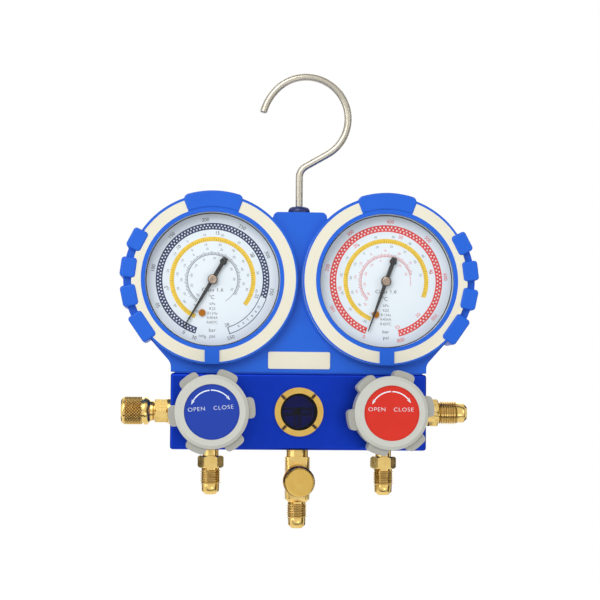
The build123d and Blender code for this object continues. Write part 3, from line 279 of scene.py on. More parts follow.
@dataclass(frozen=True)
class TurnedMetal(Finish):
    """Metal turned on a lathe: fine feed lines round its axis that stretch the highlights.

    Attributes:
        centre: A point on the axis in metres.
        axis: Direction of the axis.
        grooves: Radii of the roots and the crests in millimetres, where a thread or a knurl is painted darker towards
            its roots as painted shade.
        pitch: Distance between feed lines in millimetres, drawn coarse enough to show.
        depth: Depth of the feed lines in millimetres.
        painted_shade: Colour of the painted shade in the roots as sRGB hex.
        bare: Share of the way up from the roots where the painted shade has faded out.
    """

    centre: Triple = (0.0, 0.0, 0.0)
    axis: Axis = Axis.Z
    grooves: Pair | None = None
    pitch: float = 0.3
    depth: float = 0.006
    painted_shade: str = "#7A5220"
    bare: float = 0.7

    def texture(self, surface: Surface) -> None:
        """Adds the feed lines, and painted shade towards the roots where there are grooves."""
        surface.set("Metallic", 1.0)
        about = surface.add("ShaderNodeMapping", {"Vector": surface.place, "Location": [-c for c in self.centre]})
        surface.place = about.outputs[0]
        surface.drift(self, size=4.0, spread=0.07)
        # A wave repeats every 2 pi / 20 of its scaled coordinates
        links = {"Vector": surface.place, "Scale": 2 * pi / (20 * self.pitch * MM), "Distortion": 0.6, "Detail": 1.0}
        rings = surface.add("ShaderNodeTexWave", links, wave_type="RINGS", rings_direction=self.axis.name)
        bands = surface.add("ShaderNodeTexWave", links, wave_type="BANDS", bands_direction=self.axis.name)
        lines = surface.add("ShaderNodeMath", {0: rings.outputs["Fac"], 1: bands.outputs["Fac"]}, operation="ADD")
        surface.emboss(lines.outputs[0], strength=0.5, depth=self.depth)
        if self.grooves:
            across = [1.0 - part for part in self.axis.value]
            arm = surface.add("ShaderNodeVectorMath", {0: surface.place, 1: across}, operation="MULTIPLY")
            radius = surface.add("ShaderNodeVectorMath", {0: arm.outputs[0]}, operation="LENGTH").outputs["Value"]
            root, crest = self.grooves
            clean = root + self.bare * (crest - root)
            # Painted shade: darker towards the roots of the thread or knurl
            surface.tint(surface.remap(radius, (root * MM, clean * MM)), self.painted_shade)


@dataclass(frozen=True)
class BrushedMetal(Finish):
    """Metal drawn or brushed one way: long thin scratches along one direction.

    Attributes:
        along: Direction of the scratches.
        width: Width of a scratch in millimetres, drawn coarse enough to show.
        length: Length of a scratch in millimetres.
        depth: Depth of the scratches in millimetres.
        metallic: 1 for bare metal, a little less under a dyed oxide skin.
        stray: How far the roughness strays each way.
    """

    along: Axis = Axis.X
    width: float = 0.25
    length: float = 12.0
    depth: float = 0.008
    metallic: float = 1.0
    stray: float = 0.05

    def texture(self, surface: Surface) -> None:
        """Adds the scratches."""
        surface.set("Metallic", self.metallic)
        surface.drift(self, size=9.0, spread=self.stray)
        squeeze = [self.width / self.length if part else 1.0 for part in self.along.value]
        surface.place = surface.add("ShaderNodeMapping", {"Vector": surface.place, "Scale": squeeze}).outputs[0]
        surface.emboss(surface.noise(self.width, detail=3.0), strength=0.4, depth=self.depth)


@dataclass(frozen=True)
class Lacquer(Finish):
    """Sprayed lacquer or ink on metal: flat colour with a trace of orange peel.

    Attributes:
        peel: Size of the orange peel in millimetres.
        depth: Depth of the orange peel in millimetres.
    """

    peel: float = 1.2
    depth: float = 0.01

    def texture(self, surface: Surface) -> None:
        """Adds the orange peel."""
        surface.drift(self, size=14.0, spread=0.03)
        surface.emboss(surface.noise(self.peel, detail=1.0), strength=0.25, depth=self.depth)


@dataclass(frozen=True)
class ClearWindow(Finish):
    """Clear sheet that lamps shine through, so that what lies behind it stays bright; a dark tone dims that light and
    paints shade on what lies behind.

    Attributes:
        ior: Index of refraction, lower than the sheet's own where a film cuts its reflections.
    """

    ior: float = 1.49

    def texture(self, surface: Surface) -> None:
        """Makes the shader clear with a trace of haze, and lets the lamps' light pass."""
        surface.set("Transmission Weight", 1.0)
        surface.set("IOR", self.ior)
        surface.set("Base Color", linear(self.colour))
        haze = surface.noise(size=16.0, detail=3.0)
        surface.set("Roughness", surface.remap(haze, (0.0, 1.0), (0.0, self.roughness)))
        ray = surface.add("ShaderNodeLightPath")
        lit = either(surface.tree, ray.outputs["Is Shadow Ray"], ray.outputs["Is Diffuse Ray"])
        # The tone colours the light let through to what lies behind; a dark tone is painted shade there
        through = surface.add("ShaderNodeBsdfTransparent", {"Color": linear(self.tone)})
        sheet = surface.add("ShaderNodeMixShader", {0: lit, 1: surface.shader.outputs[0], 2: through.outputs[0]})
        feed(surface.tree, surface.output, "Surface", sheet.outputs[0])


# Moulded ABS, satin: the even bright blue of the housing
HOUSING_ABS = MouldedPlastic("housing_abs_blue", "#0462DA", "#0258CC", 0.45, shine=0.4)
# Phosphorescent silicone, matt: a warm cream that scatters light softly
GLOW_SILICONE = MouldedPlastic("glow_silicone_cream", "#E9E5D2", "#E2DECA", 0.62, grain=0.8, ior=1.42)
# Moulded nylon, matt: the cool grey of the hand wheels, with a painted highlight on the rim and painted shade on the
# lobes
WHEEL_NYLON = RimLitNylon("wheel_nylon_grey", "#A7A7A0", "#9B9B94", 0.5, grain=0.6, depth=0.04, rim="#C3C4BC",
                           front=-40.4)
# Gloss acetal: the dark dome under the hook
BUSH_ACETAL = MouldedPlastic("bush_acetal_navy", "#132A6E", "#0E2058", 0.3, grain=1.0, depth=0.01, ior=1.48)
# Printed polycarbonate labels, satin: a flat colour with a faint shine
LABEL_BLUE = MouldedPlastic("label_film_blue", "#0238A6", "#02309A", 0.5, grain=1.5, depth=0.005, shine=0.35)
LABEL_RED = MouldedPlastic("label_film_red", "#D6270F", "#CA200E", 0.5, grain=1.5, depth=0.005, shine=0.35)
# Nitrile rubber: near black and dull
SEAL_RUBBER = MouldedPlastic("seal_rubber_black", "#161616", "#202020", 0.7, grain=0.3, ior=1.5)
# Dyed anodised aluminium, milled along the block: deep blue metal with a soft sheen
BLOCK_ANODISED = BrushedMetal("block_anodised_blue", "#0836B6", "#042CA0", 0.36, along=Axis.X, metallic=0.85)
# Stainless spring wire, drawn: greyish silver with lines along its length
HOOK_STAINLESS = BrushedMetal("hook_stainless_drawn", "#BAB4A6", "#B4AE9F", 0.33, along=Axis.Z, width=1.2,
                              length=8.0, depth=0.001, stray=0.01)
# Dulled nickel on the pointers' hubs: warm grey-brown metal
HUB_NICKEL = BrushedMetal("hub_nickel_dull", "#A39282", "#8E7E70", 0.4, width=0.15, length=0.8)
# Black oxide on steel screws: dark with a faint metal shine
SCREW_OXIDE = BrushedMetal("screw_black_oxide", "#2B2B2E", "#1F1F22", 0.45, width=0.2, length=0.6)
# Black lacquer on the gauge cases and the pointers
CASE_LACQUER = Lacquer("case_lacquer_black", "#1B1C20", "#141519", 0.4)
POINTER_LACQUER = Lacquer("pointer_lacquer_black", "#08090B", "#0E0F12", 0.6, peel=0.9, depth=0.003)
# Orange lacquered brass of the zero adjusters
ADJUSTER_BRASS = BrushedMetal("adjuster_brass_orange", "#A5681A", "#8E5612", 0.4, width=0.15, length=0.8)
# White lacquer on the aluminium dials: cool white, nearly flat
DIAL_LACQUER = Lacquer("dial_lacquer_white", "#E6EFF5", "#DFE9F0", 0.5, peel=2.0, depth=0.006)
# Painted shade in the slots of the sight ring: a dull dark brown
SLOT_SHADE = Lacquer("slot_shade_brown", "#4A3012", "#3A240C", 0.6)
# Screen inks: flat colours that sit on the lacquer
INK_NAVY = Lacquer("ink_navy", "#1D3560", "#17294F", 0.55)
INK_RED = Lacquer("ink_red", "#E0453F", "#D63A36", 0.55)
INK_YELLOW = Lacquer("ink_yellow", "#EFCB3C", "#E6BE30", 0.55)
INK_OCHRE = Lacquer("ink_ochre", "#B89A2A", "#A98A20", 0.55)
INK_WHITE = Lacquer("ink_white", "#EDF1F4", "#E6EBEF", 0.55)
INK_GREY = Lacquer("ink_grey", "#6E747C", "#5F656D", 0.55)
INK_PINK = Lacquer("ink_pink", "#D9848A", "#CE767C", 0.55)
INK_BLACK = Lacquer("ink_black", "#2A2F36", "#22262C", 0.55)
INK_LABEL = Lacquer("ink_label_white", "#EAF2F8", "#DDE8F2", 0.45)
# Clear acrylic with an anti-glare film over the dials, and glass over the block's chamber with a dark tone that dims
# the light let through, as painted shade in the chamber
LENS_ACRYLIC = ClearWindow("lens_acrylic", "#FFFFFF", "#FFFFFF", 0.02, ior=1.2)
SIGHT_GLASS = ClearWindow("sight_glass_clear", "#5A6CB0", "#181F40", 0.02, ior=1.25)


# Brass in two pairs of tones: a paler, brighter pair on the hose ends and the left cap that paints the highlights on
# their faces, and a yellower pair elsewhere
LIT_BRASS, YELLOW_BRASS = ("#EBCF88", "#D4AE5C"), ("#DFBE6C", "#C69C47")
BRASS_ROUGHNESS = 0.22


@cache
def material_of(finish: Finish) -> Material:
    """Material of a finish, built on first use and shared after that."""
    return finish.material()


def dress(node: str, finish: Finish) -> None:
    """Puts a finish on a solid of the frame."""
    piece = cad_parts[node]
    if not piece.material_slots:
        piece.data.materials.append(material_of(finish))
    for slot in piece.material_slots:
        slot.material = material_of(finish)
    LOG.info("%s dressed in %s", node, finish.name)


def middle(node: str) -> Vector:
    """Middle of a solid's box in metres."""
    low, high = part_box(node)
    return (Vector(low) + Vector(high)) / 2


def front_middle(node: str) -> Vector:
    """Middle of the front of a solid's box in metres."""
    point = middle(node)
    point.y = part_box(node)[0][1]
    return point


def on_axis(node: str) -> Vector:
    """A point on a fitting's axis in metres; the centre port's branch doesn't count."""
    point = middle(node)
    if node == "centre_port":
        point.y = 0.0
    return point


def facing_front(centre: Vector) -> Matrix:
    """Matrix that stands a drawing in millimetres, x right and y up, on a face that looks to the front."""
    return Matrix(((MM, 0, 0, centre.x), (0, 0, -MM, centre.y), (0, MM, 0, centre.z), (0, 0, 0, 1)))


def brass(node: str, axis: Axis, grooves: Pair | None = None) -> TurnedMetal:
    """Machined brass for one fitting, with feed lines round that fitting's own axis.

    Args:
        node: Solid that the finish is for.
        axis: Direction of its axis.
        grooves: Radii of the roots and the crests of its thread or knurl, in millimetres.
    """
    # Painted highlight: the hose ends and the left cap take the brighter tones
    tones = LIT_BRASS if node.endswith("_port") or node == "left_cap" else YELLOW_BRASS
    name = f"brass_turned_{node}" + ("_grooved" if grooves else "")
    return TurnedMetal(name, *tones, BRASS_ROUGHNESS, tuple(on_axis(node)), axis, grooves)


def mesh_data(mesh: Shape, name: str) -> bpy.types.Mesh:
    """Turns a bmesh into mesh data and frees it."""
    data = bpy.data.meshes.new(name)
    mesh.to_mesh(data)
    mesh.free()
    return data


def add_object(name: str, data: bpy.types.ID) -> bpy.types.Object:
    """Adds an object with this data to the scene."""
    made = bpy.data.objects.new(name, data)
    bpy.context.scene.collection.objects.link(made)
    return made


def finish_piece(mesh: Shape, name: str, body: str, slot: str, *finishes: Finish) -> bpy.types.Object:
    """Turns a bmesh into a piece of the scene that rides on a body.

    Args:
        mesh: The shape, in metres in the row frame; it is freed here.
        name: Name of the new piece.
        body: Body of the frame that the piece moves with.
        slot: Material slot of the record; not used.
        finishes: Its finishes, in the order of the material indices of its faces.

    Returns:
        The new object.
    """
    bmesh.ops.recalc_face_normals(mesh, faces=mesh.faces[:])
    data = mesh_data(mesh, name)
    for finish in finishes:
        data.materials.append(material_of(finish))
    piece = add_object(name, data)
    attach(piece, body)
    LOG.info("%s made with %d faces", name, len(data.polygons))
    return piece


# ------------------------------------------------------------------ print on flat faces

class Print:
    """Flat ink of one colour on a face that looks to the front, gathered in one mesh.

    The face is drawn in millimetres, x to the right and y up, about a centre. Angles are in degrees,
    anticlockwise from the right.

    Attributes:
        mesh: The shapes so far.
        arc_step: Most degrees between two corners of a ring.
        capital: Height of a capital letter as a share of the font's size.
    """

    arc_step = 2.5
    capital = 0.69

    def __init__(self) -> None:
        """Starts an empty sheet."""
        self.mesh = bmesh.new()

    def ring(self, inner: float, outer: float, start: float, end: float) -> None:
        """Prints a piece of a ring between two radii and two angles."""
        turn = radians(start)
        pair = [self.mesh.verts.new((r * cos(turn), r * sin(turn), 0)) for r in (inner, outer)]
        edge = self.mesh.edges.new(pair)
        bmesh.ops.spin(self.mesh, geom=[*pair, edge], cent=(0, 0, 0), axis=(0, 0, 1),
                       angle=radians(end - start), steps=max(1, ceil(abs(end - start) / self.arc_step)))

    def shape(self, points: list[tuple[float, float]]) -> None:
        """Prints one flat shape with corners at these points."""
        self.mesh.faces.new([self.mesh.verts.new((x, y, 0)) for x, y in points])

    def tick(self, inner: float, outer: float, angle: float, width: float) -> None:
        """Prints a radial stroke between two radii, this wide."""
        turn = Matrix.Rotation(radians(angle), 4, "Z")
        half = width / 2
        corners = [turn @ Vector((r, side, 0))
                   for r, side in ((inner, -half), (outer, -half), (outer, half), (inner, half))]
        self.shape([(c.x, c.y) for c in corners])

    def words(self, text: str, x: float, y: float, height: float, turn: float = 0.0, spread: float = 1.0,
              thin: float = 0.0) -> None:
        """Prints words centred on a point.

        Args:
            text: The words.
            x: Middle of the words.
            y: Middle of the words.
            height: Height of a capital letter.
            turn: Degrees that the words are turned anticlockwise.
            spread: How much wider than usual the letters and the gaps between them are.
            thin: How far the strokes' edges are drawn in.
        """
        curve = bpy.data.curves.new("words", "FONT")
        curve.body, curve.size, curve.space_character = text, height / self.capital, spread
        curve.align_x, curve.align_y, curve.resolution_u, curve.offset = "CENTER", "CENTER", 4, -thin
        holder = bpy.data.objects.new("words", curve)
        flat = bpy.data.meshes.new_from_object(holder)
        place = Matrix.Translation((x, y, 0)) @ Matrix.Rotation(radians(turn), 4, "Z")
        flat.transform(place @ Matrix.Diagonal((spread, 1, 1, 1)))
        self.mesh.from_mesh(flat)
        bpy.data.objects.remove(holder)
        bpy.data.curves.remove(curve)
        bpy.data.meshes.remove(flat)

    def words_round(self, text: str, radius: float, angle: float, height: float) -> None:
        """Prints words on a circle, upright in the lower quarter and feet inward elsewhere."""
        low = 225 < angle % 360 < 315
        self.words(text, radius * cos(radians(angle)), radius * sin(radians(angle)), height,
                   angle + (90 if low else -90))

    def lay(self, name: str, body: str, centre: Vector, finish: Finish, slot: str, thickness: float = 0.03) -> None:
        """Gives the ink its thickness and lays it on its face.

        Args:
            name: Name of the piece.
            body: Body that the piece rides on.
            centre: Centre of the print on the face, in metres.
            finish: Its ink.
            slot: Material slot of the record.
            thickness: Thickness of the ink.
        """
        raised = bmesh.ops.extrude_face_region(self.mesh, geom=self.mesh.faces[:])
        top = [part for part in raised["geom"] if isinstance(part, Vertex)]
        bmesh.ops.translate(self.mesh, verts=top, vec=(0, 0, thickness))
        bmesh.ops.transform(self.mesh, matrix=facing_front(centre), verts=self.mesh.verts[:])
        finish_piece(self.mesh, name, body, slot, finish)


PSI_PER_BAR = 14.504
# Heights of a dial's numbers
LARGE, MEDIUM, SMALL = 1.9, 1.8, 1.2
# Degrees between two divisions of a saturation scale, and how many there are to a long one
DIVISION, LONG_EVERY = 3.1, 5
# Words under the hub with their x, y, height, turn and spread, and the small rows between them with their y
DIAL_WORDS = (("Class 1.6", 0.0, -5.6, 1.9, 0.0, 1.08), ("°C", -0.5, -9.6, 2.0, 0.0, 1.0),
              ("bar", 0.0, -27.4, 1.8, 0.0, 1.05), ("psi", 0.1, -30.6, 1.8, 0.0, 1.05))
VACUUM_UNIT = ("inHg", -5.2, -30.6, 1.5, -8.0, 1.0)
DIAL_ROWS = (("kPa", -13.2), ("R22", -15.8), ("R134a", -18.3), ("R404A", -20.7), ("R407C", -23.2))
# Temperatures along a scale: the first, degrees that one needs, and for each row its radius, how far from the scale's
# start its first number stands, and the step to the next
INNER_TEMPERATURES = (-40, 27, ((11.6, -7, 28.0), (16.8, 3, 27.0)))
OUTER_TEMPERATURES = (-50, 23, ((24.5, -6, 23.0), (19.2, -2, 23.5)))


@dataclass
class PressureDial:
    """Print on one gauge's dial: the pressure band, the saturation scales and the words.

    Radii are in millimetres and angles in degrees; pressures are in psi where bar isn't named.

    Attributes:
        side: "low" or "high".
        band_ink: Ink of the band.
        inner_ink: Ink of the innermost scale.
        zero: Angle of no pressure.
        per_psi: Degrees for one psi.
        top: Highest pressure on the band.
        step: Pressure between numbers.
        cell: Pressure between white cells.
        yellow: Angles where the yellow arc starts and ends.
        bars: Pressures in bar that have a number.
        last: Last numbers in psi and bar, and their angle at the end of the band.
        retard: True where the band starts in vacuum and an open retard scale follows it.
        scale: Angles where the innermost scale starts and ends.
    """

    side: str
    band_ink: Finish
    inner_ink: Finish
    zero: float
    per_psi: float
    top: int
    step: int
    cell: float
    yellow: Pair
    bars: tuple[int, ...]
    last: tuple[str, str, float]
    retard: bool = False
    scale: Pair = (233.0, -58.6)
    # Radii of the rim line, the band, a row of cells from the band's middle, the yellow arc and the innermost scale
    rim, band, cells, arc, inner = (35.6, 36.2), (27.1, 30.7), (0.3, 1.05), (20.8, 23.2), 13.5
    # Radii of the numbers in psi and in bar, each with that of the numbers at the band's ends
    psi_row, bar_row = (32.5, 32.9), (25.3, 25.7)
    # White share of a half cell, pressure at 30 inches of vacuum, and degrees that the band runs on
    filled, vacuum, overrun = (0.1, 0.85), -15.0, 8.0
    # Angle of the retard scale's first letter, and the step to the next
    letters = (-60.1, 5.96)
    # How far short of the yellow arc's edge its short and long divisions end, and how far those of the innermost reach
    arc_marks, inner_marks = (1.1, 0.2), (1.4, 1.9)

    def at(self, psi: float) -> float:
        """Angle of a pressure."""
        return self.zero - psi * self.per_psi

    def build(self) -> None:
        """Prints the whole dial."""
        self.print_band()
        self.print_arc()
        self.print_inner()
        self.print_numbers()
        self.print_words()

    def lay(self, sheet: Print, name: str, finish: Finish, thickness: float = 0.03) -> None:
        """Lays one colour on this dial."""
        sheet.lay(f"{self.side}_{name}", "manifold", front_middle(f"{self.side}_dial"), finish,
                  f"dial_{self.side}", thickness)

    def print_band(self) -> None:
        """Prints the dark band with its two rows of white cells, and the line round the dial."""
        first, last = self.at(self.vacuum if self.retard else 0), self.at(self.top)
        last -= self.overrun if self.retard else 0
        centre_line = sum(self.band) / 2
        near, far = self.cells
        start, end = self.filled
        half = self.cell * self.per_psi / 2
        band, cells, rim = Print(), Print(), Print()
        band.ring(*self.band, first, last)
        for i in range(round((first - last) / (2 * half))):
            angle = first - (2 * i + 0.5) * half
            cells.ring(centre_line + near, centre_line + far, angle - half * start, angle - half * end)
            cells.ring(centre_line - far, centre_line - near, angle - half * (1 + start), angle - half * (1 + end))
        if self.retard:
            self.print_retard(band, last, centre_line)
        self.lay(band, "dial_band", self.band_ink)
        self.lay(cells, "dial_cells", INK_WHITE, thickness=0.05)
        # Painted shade in part: the black line round the dial's edge stands for the black case wall and the shade seen
        # there
        rim.ring(*self.rim, 0, 360)
        self.lay(rim, "dial_rim", INK_BLACK)

    def print_retard(self, band: Print, start: float, centre_line: float, half: float = 0.2) -> None:
        """Prints the open scale that follows the band, with its letters and lines twice half wide."""
        end = self.last[2]
        for radius in self.band:
            band.ring(radius - half, radius + half, start, end)
        band.tick(self.band[0] - half, self.band[1] + half, end, width=0.5)
        for i, letter in enumerate("RETARD"):
            band.words_round(letter, centre_line, self.letters[0] + self.letters[1] * i, height=1.3)

    def print_arc(self) -> None:
        """Prints the yellow arc with its fine divisions."""
        start, end = self.yellow
        arc, ticks = Print(), Print()
        arc.ring(*self.arc, start, end)
        count = int((start - end) / DIVISION)
        short, long = self.arc_marks
        for i in range(count + 1):
            outer = self.arc[1] - (short if i % LONG_EVERY else long)
            ticks.tick(self.arc[0], outer, start - (start - end) * i / count, width=0.3)
        self.lay(arc, "dial_arc", INK_YELLOW)
        self.lay(ticks, "dial_arc_marks", INK_OCHRE, thickness=0.05)

    def print_inner(self, half: float = 0.13, margin: float = 20.0) -> None:
        """Prints the thin scale nearest the hub, without divisions on its last degrees, and its small numbers."""
        scale = Print()
        start, end = self.scale
        short, long = self.inner_marks
        scale.ring(self.inner - half, self.inner + half, start, end)
        for i in range(int((start - end - margin) / DIVISION)):
            outer = self.inner + (short if i % LONG_EVERY else long)
            scale.tick(self.inner, outer, start - i * DIVISION, width=0.32)
        self.print_degrees(scale, self.scale, *INNER_TEMPERATURES)
        self.lay(scale, "dial_inner", self.inner_ink)

    def print_degrees(self, sheet: Print, scale: Pair, first: int, room: float, rows: tuple[Triple, ...]) -> None:
        """Prints rows of temperatures in tens of degrees, evenly spaced along a scale; see INNER_TEMPERATURES."""
        start, end = scale
        for i in range(int((start - end) / room)):
            for radius, lead, step in rows:
                sheet.words_round(str(first + 10 * i), radius, start + lead - i * step, SMALL)

    def print_numbers(self) -> None:
        """Prints the numbers in psi outside the band, those in bar inside it, and the outer temperatures."""
        numbers, small = Print(), Print()
        for psi in range(0, self.top + (1 if self.retard else 0), self.step):
            numbers.words_round(str(psi), self.psi_row[0], self.at(psi), LARGE)
        numbers.words_round(self.last[0], self.psi_row[1], self.last[2], LARGE)
        for bar in self.bars:
            numbers.words_round(str(bar), self.bar_row[0], self.at(bar * PSI_PER_BAR), MEDIUM)
        numbers.words_round(self.last[1], self.bar_row[1], self.last[2], MEDIUM)
        if self.retard:
            numbers.words_round("30", self.psi_row[1], self.at(self.vacuum), LARGE)
        self.print_degrees(small, self.yellow, *OUTER_TEMPERATURES)
        self.lay(numbers, "dial_numbers", INK_BLACK if self.retard else self.band_ink)
        self.lay(small, "dial_small_numbers", INK_GREY)

    def print_words(self) -> None:
        """Prints the accuracy class, the units and the refrigerants under the hub."""
        words, rows = Print(), Print()
        for line in DIAL_WORDS + ((VACUUM_UNIT,) if self.retard else ()):
            words.words(*line)
        for text, y in DIAL_ROWS:
            rows.words(text, 0, y, height=1.5)
        self.lay(words, "dial_words", INK_BLACK)
        self.lay(rows, "dial_rows", INK_GREY)


# Radius and height of the cap on a pointer's hub, from its punched centre out to its foot
HUB_OUTLINE = ((0, 0.1), (0.28, 0.12), (0.4, 0.3), (1.85, 0.35), (2.25, 0.22), (2.35, 0.0), (2.35, -0.2), (0, -0.2))


def add_hub_cap(side: str, steps: int = 40) -> None:
    """Adds the turned cap on a pointer's hub, with a ring round it and a centre punch.

    Args:
        side: "low" or "high".
        steps: Number of faces round the cap.
    """
    pointer = f"{side}_pointer"
    centre = middle(f"{side}_dial")
    centre.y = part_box(pointer)[0][1]
    mesh = bmesh.new()
    points = [mesh.verts.new((radius, 0, height)) for radius, height in HUB_OUTLINE]
    edges = [mesh.edges.new(pair) for pair in zip(points, points[1:])]
    bmesh.ops.spin(mesh, geom=[*points, *edges], cent=(0, 0, 0), axis=(0, 0, 1), angle=2 * pi, steps=steps,
                   use_merge=True)
    bmesh.ops.remove_doubles(mesh, verts=mesh.verts[:], dist=1e-5)
    bmesh.ops.transform(mesh, matrix=facing_front(centre), verts=mesh.verts[:])
    finish_piece(mesh, f"{pointer}_cap", pointer, "pointer_black", HUB_NICKEL)


@dataclass
class WheelLabel:
    """Print on a hand wheel's disc: two arrows and the words for opening and closing.

    Attributes:
        side: "low" or "high".
        slot: Material slot of the record.
        tilt: Degrees that the whole print is turned.
    """

    side: str
    slot: str
    tilt: float
    # Radius and width of the arrows' line, degrees that a head takes up, and how far the line runs into it
    radius, stroke, head, overlap = 11.3, 0.6, 12.0, 3
    # Angles where each arrow starts and ends
    arrows = ((92.2, 156.5), (88.6, 28.5))
    # Outer barb, notch and inner barb of a head: distance out from the line, and degrees on from the neck
    barbs = ((0.95, -1.5), (0.0, 2.0), (-0.8, -1.0))
    # Words with their x, and their y
    words, line = (("OPEN", -7.8), ("CLOSE", 6.2)), 1.85

    def arrow(self, sheet: Print, start: float, end: float) -> None:
        """Prints a curved arrow from the angle of its plain end to that of its tip."""
        way = 1 if end > start else -1
        neck = end - way * self.head
        sheet.ring(self.radius - self.stroke / 2, self.radius + self.stroke / 2, start + self.tilt,
                   neck + way * self.overlap + self.tilt)
        corners = [(self.radius, end)] + [(self.radius + out, neck + way * on) for out, on in self.barbs]
        sheet.shape([(r * cos(radians(a + self.tilt)), r * sin(radians(a + self.tilt))) for r, a in corners])

    def build(self) -> None:
        """Prints the label."""
        sheet = Print()
        for start, end in self.arrows:
            self.arrow(sheet, start, end)
        turn = Matrix.Rotation(radians(self.tilt), 4, "Z")
        for text, x in self.words:
            spot = turn @ Vector((x, self.line, 0))
            sheet.words(text, spot.x, spot.y, height=2.05, turn=self.tilt, spread=1.12, thin=0.03)
        sheet.lay(f"{self.side}_label_print", f"{self.side}_knob", front_middle(f"{self.side}_knob_label"), INK_LABEL,
                  self.slot, thickness=0.04)


# Wrench slots of the sight ring: how many, angle of the first, radii, width of the painted shade in a slot and depth
SLOTS, SLOT_TURN, SLOT_RADII, SLOT_WIDTH, SLOT_DEPTH = 4, 47.0, (10.1, 12.95), 1.5, 1.15
# Black disc of painted shade at the mouth of the drilling behind the sight glass: its radii, and how far that lies
# behind the ring's face
MOUTH_RADII, MOUTH_DEPTH = (0.01, 2.0), 14.6


def add_sight_details() -> None:
    """Lays painted shade in the slots of the sight ring, and a black disc of painted shade where the mouth of the
    drilling behind the glass lies in shade.
    """
    front = front_middle("sight_ring")
    painted_shade, mouth_shade = Print(), Print()
    for index in range(SLOTS):
        # Painted shade along each slot
        painted_shade.tick(*SLOT_RADII, SLOT_TURN + index * 360 / SLOTS, SLOT_WIDTH)
    painted_shade.lay("sight_ring_slot_shade", "manifold", front + Vector((0, SLOT_DEPTH * MM, 0)), SLOT_SHADE, "brass")
    # Painted shade: a black disc where the drilling's mouth lies in shade
    mouth_shade.ring(*MOUTH_RADII, 0, 360)
    mouth_shade.lay("sight_drilling_mouth_shade", "manifold", front + Vector((0, MOUTH_DEPTH * MM, 0)), SEAL_RUBBER,
              "blue_anodised")


# ------------------------------------------------------------------ threads and knurls

@dataclass
class Turning:
    """A brass fitting with a rougher zone round its axis, rebuilt from its own mesh.

    Attributes:
        node: Solid that the piece stands for.
        body: Body that it rides on.
        axis: Direction of its axis.
        zone: Where the zone starts and ends along the axis, in millimetres of the row frame.
        radius: Radius of the zone's crests in millimetres.
        root: Radius of the zone's roots in millimetres.
    """

    node: str
    body: str
    axis: Axis
    zone: Pair
    radius: float
    root: float
    # Name of the zone's form, and how far past its ends and its crests a vertex still counts
    form, past_end, past_crest = "turned", 0.01, 0.02

    def __post_init__(self) -> None:
        """Finds the axis, where it starts, and two unit vectors square to it."""
        self.anchor, self.way = on_axis(self.node), self.axis.value.copy()
        self.start = self.anchor - self.way * self.anchor.dot(self.way)
        self.first = self.way.orthogonal().normalized()
        self.second = self.way.cross(self.first)

    def build(self) -> None:
        """Makes the fitting with its rough zone and hides the plain one."""
        mesh = self.core()
        self.roughen(mesh)
        # The grooved finish paints shade towards the roots of the thread or knurl
        plain, grooved = brass(self.node, self.axis), brass(self.node, self.axis, (self.root, self.radius))
        piece = finish_piece(mesh, f"{self.node}_{self.form}", self.body, "brass", plain, grooved)
        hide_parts(self.node)

    def roughen(self, mesh: Shape) -> None:
        """Adds the zone's form to the core."""
        raise NotImplementedError

    def arm(self, point: Vector) -> Vector:
        """Vector from the axis to a point, in metres."""
        arm = point - self.anchor
        return arm - self.way * arm.dot(self.way)

    def draw_in(self, vert: Vertex, radius: float) -> None:
        """Moves a vertex in to a radius in millimetres if it stands further out."""
        arm = self.arm(vert.co)
        if arm.length > radius * MM:
            vert.co -= arm * (1 - radius * MM / arm.length)

    def core(self) -> Shape:
        """Copies the solid's mesh, merged and in metres, and turns its zone down to the roots."""
        mesh = bmesh.new()
        mesh.from_mesh(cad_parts[self.node].data)
        bmesh.ops.remove_doubles(mesh, verts=mesh.verts[:], dist=1e-7)
        low, high = (self.zone[0] - self.past_end) * MM, (self.zone[1] + self.past_end) * MM
        for vert in mesh.verts:
            inside = low < vert.co.dot(self.way) < high
            if inside and self.arm(vert.co).length < (self.radius + self.past_crest) * MM:
                self.draw_in(vert, self.root)
        return mesh


@dataclass
class ThreadedEnd(Turning):
    """A fitting with a screw thread cut on it."""

    form, pitch = "threaded", 1.27
    # Half the width of the ridge's foot and crest as shares of the pitch, and how far the foot is sunk in the core
    foot, crest, sunk = 0.46, 0.09, 0.08
    # Steps that a turn is wound in, and share of the ridge's height that is left at its ends
    per_turn, stub = 40, 0.25

    def roughen(self, mesh: Shape) -> None:
        """Winds the thread's ridge round the core as one closed shell."""
        foot, crest, under = self.pitch * self.foot, self.pitch * self.crest, self.root - self.sunk
        low, high = self.zone[0] + foot, self.zone[1] - foot
        turns = (high - low) / self.pitch
        steps = ceil(turns * self.per_turn)
        section = ((under, -foot), (self.radius, -crest), (self.radius, crest), (under, foot))
        ring = [mesh.verts.new(self.start + (self.first * r + self.way * (low + shift)) * MM) for r, shift in section]
        edges = [mesh.edges.new((ring[i], ring[(i + 1) % 4])) for i in range(4)]
        core = set(mesh.verts) - set(ring)
        bmesh.ops.spin(mesh, geom=[*ring, *edges], cent=self.start, axis=self.way, angle=2 * pi * turns,
                       steps=steps, dvec=self.way * ((high - low) * MM / steps))
        self.fade([vert for vert in mesh.verts if vert not in core], low, high)
        open_edges = [edge for edge in mesh.edges if edge.is_boundary and edge.verts[0] not in core]
        bmesh.ops.holes_fill(mesh, edges=open_edges, sides=4)
        for face in mesh.faces:
            face.material_index = int(face.verts[0] not in core)

    def fade(self, ridge: list[Vertex], low: float, high: float) -> None:
        """Lets the ridge run out into the core at both ends of its middle line, in millimetres along the axis."""
        for vert in ridge:
            place = vert.co.dot(self.way) / MM
            share = min(max(min(place - low, high - place) / self.pitch + self.stub, 0.0), 1.0)
            self.draw_in(vert, self.root + (self.radius - self.root) * share)


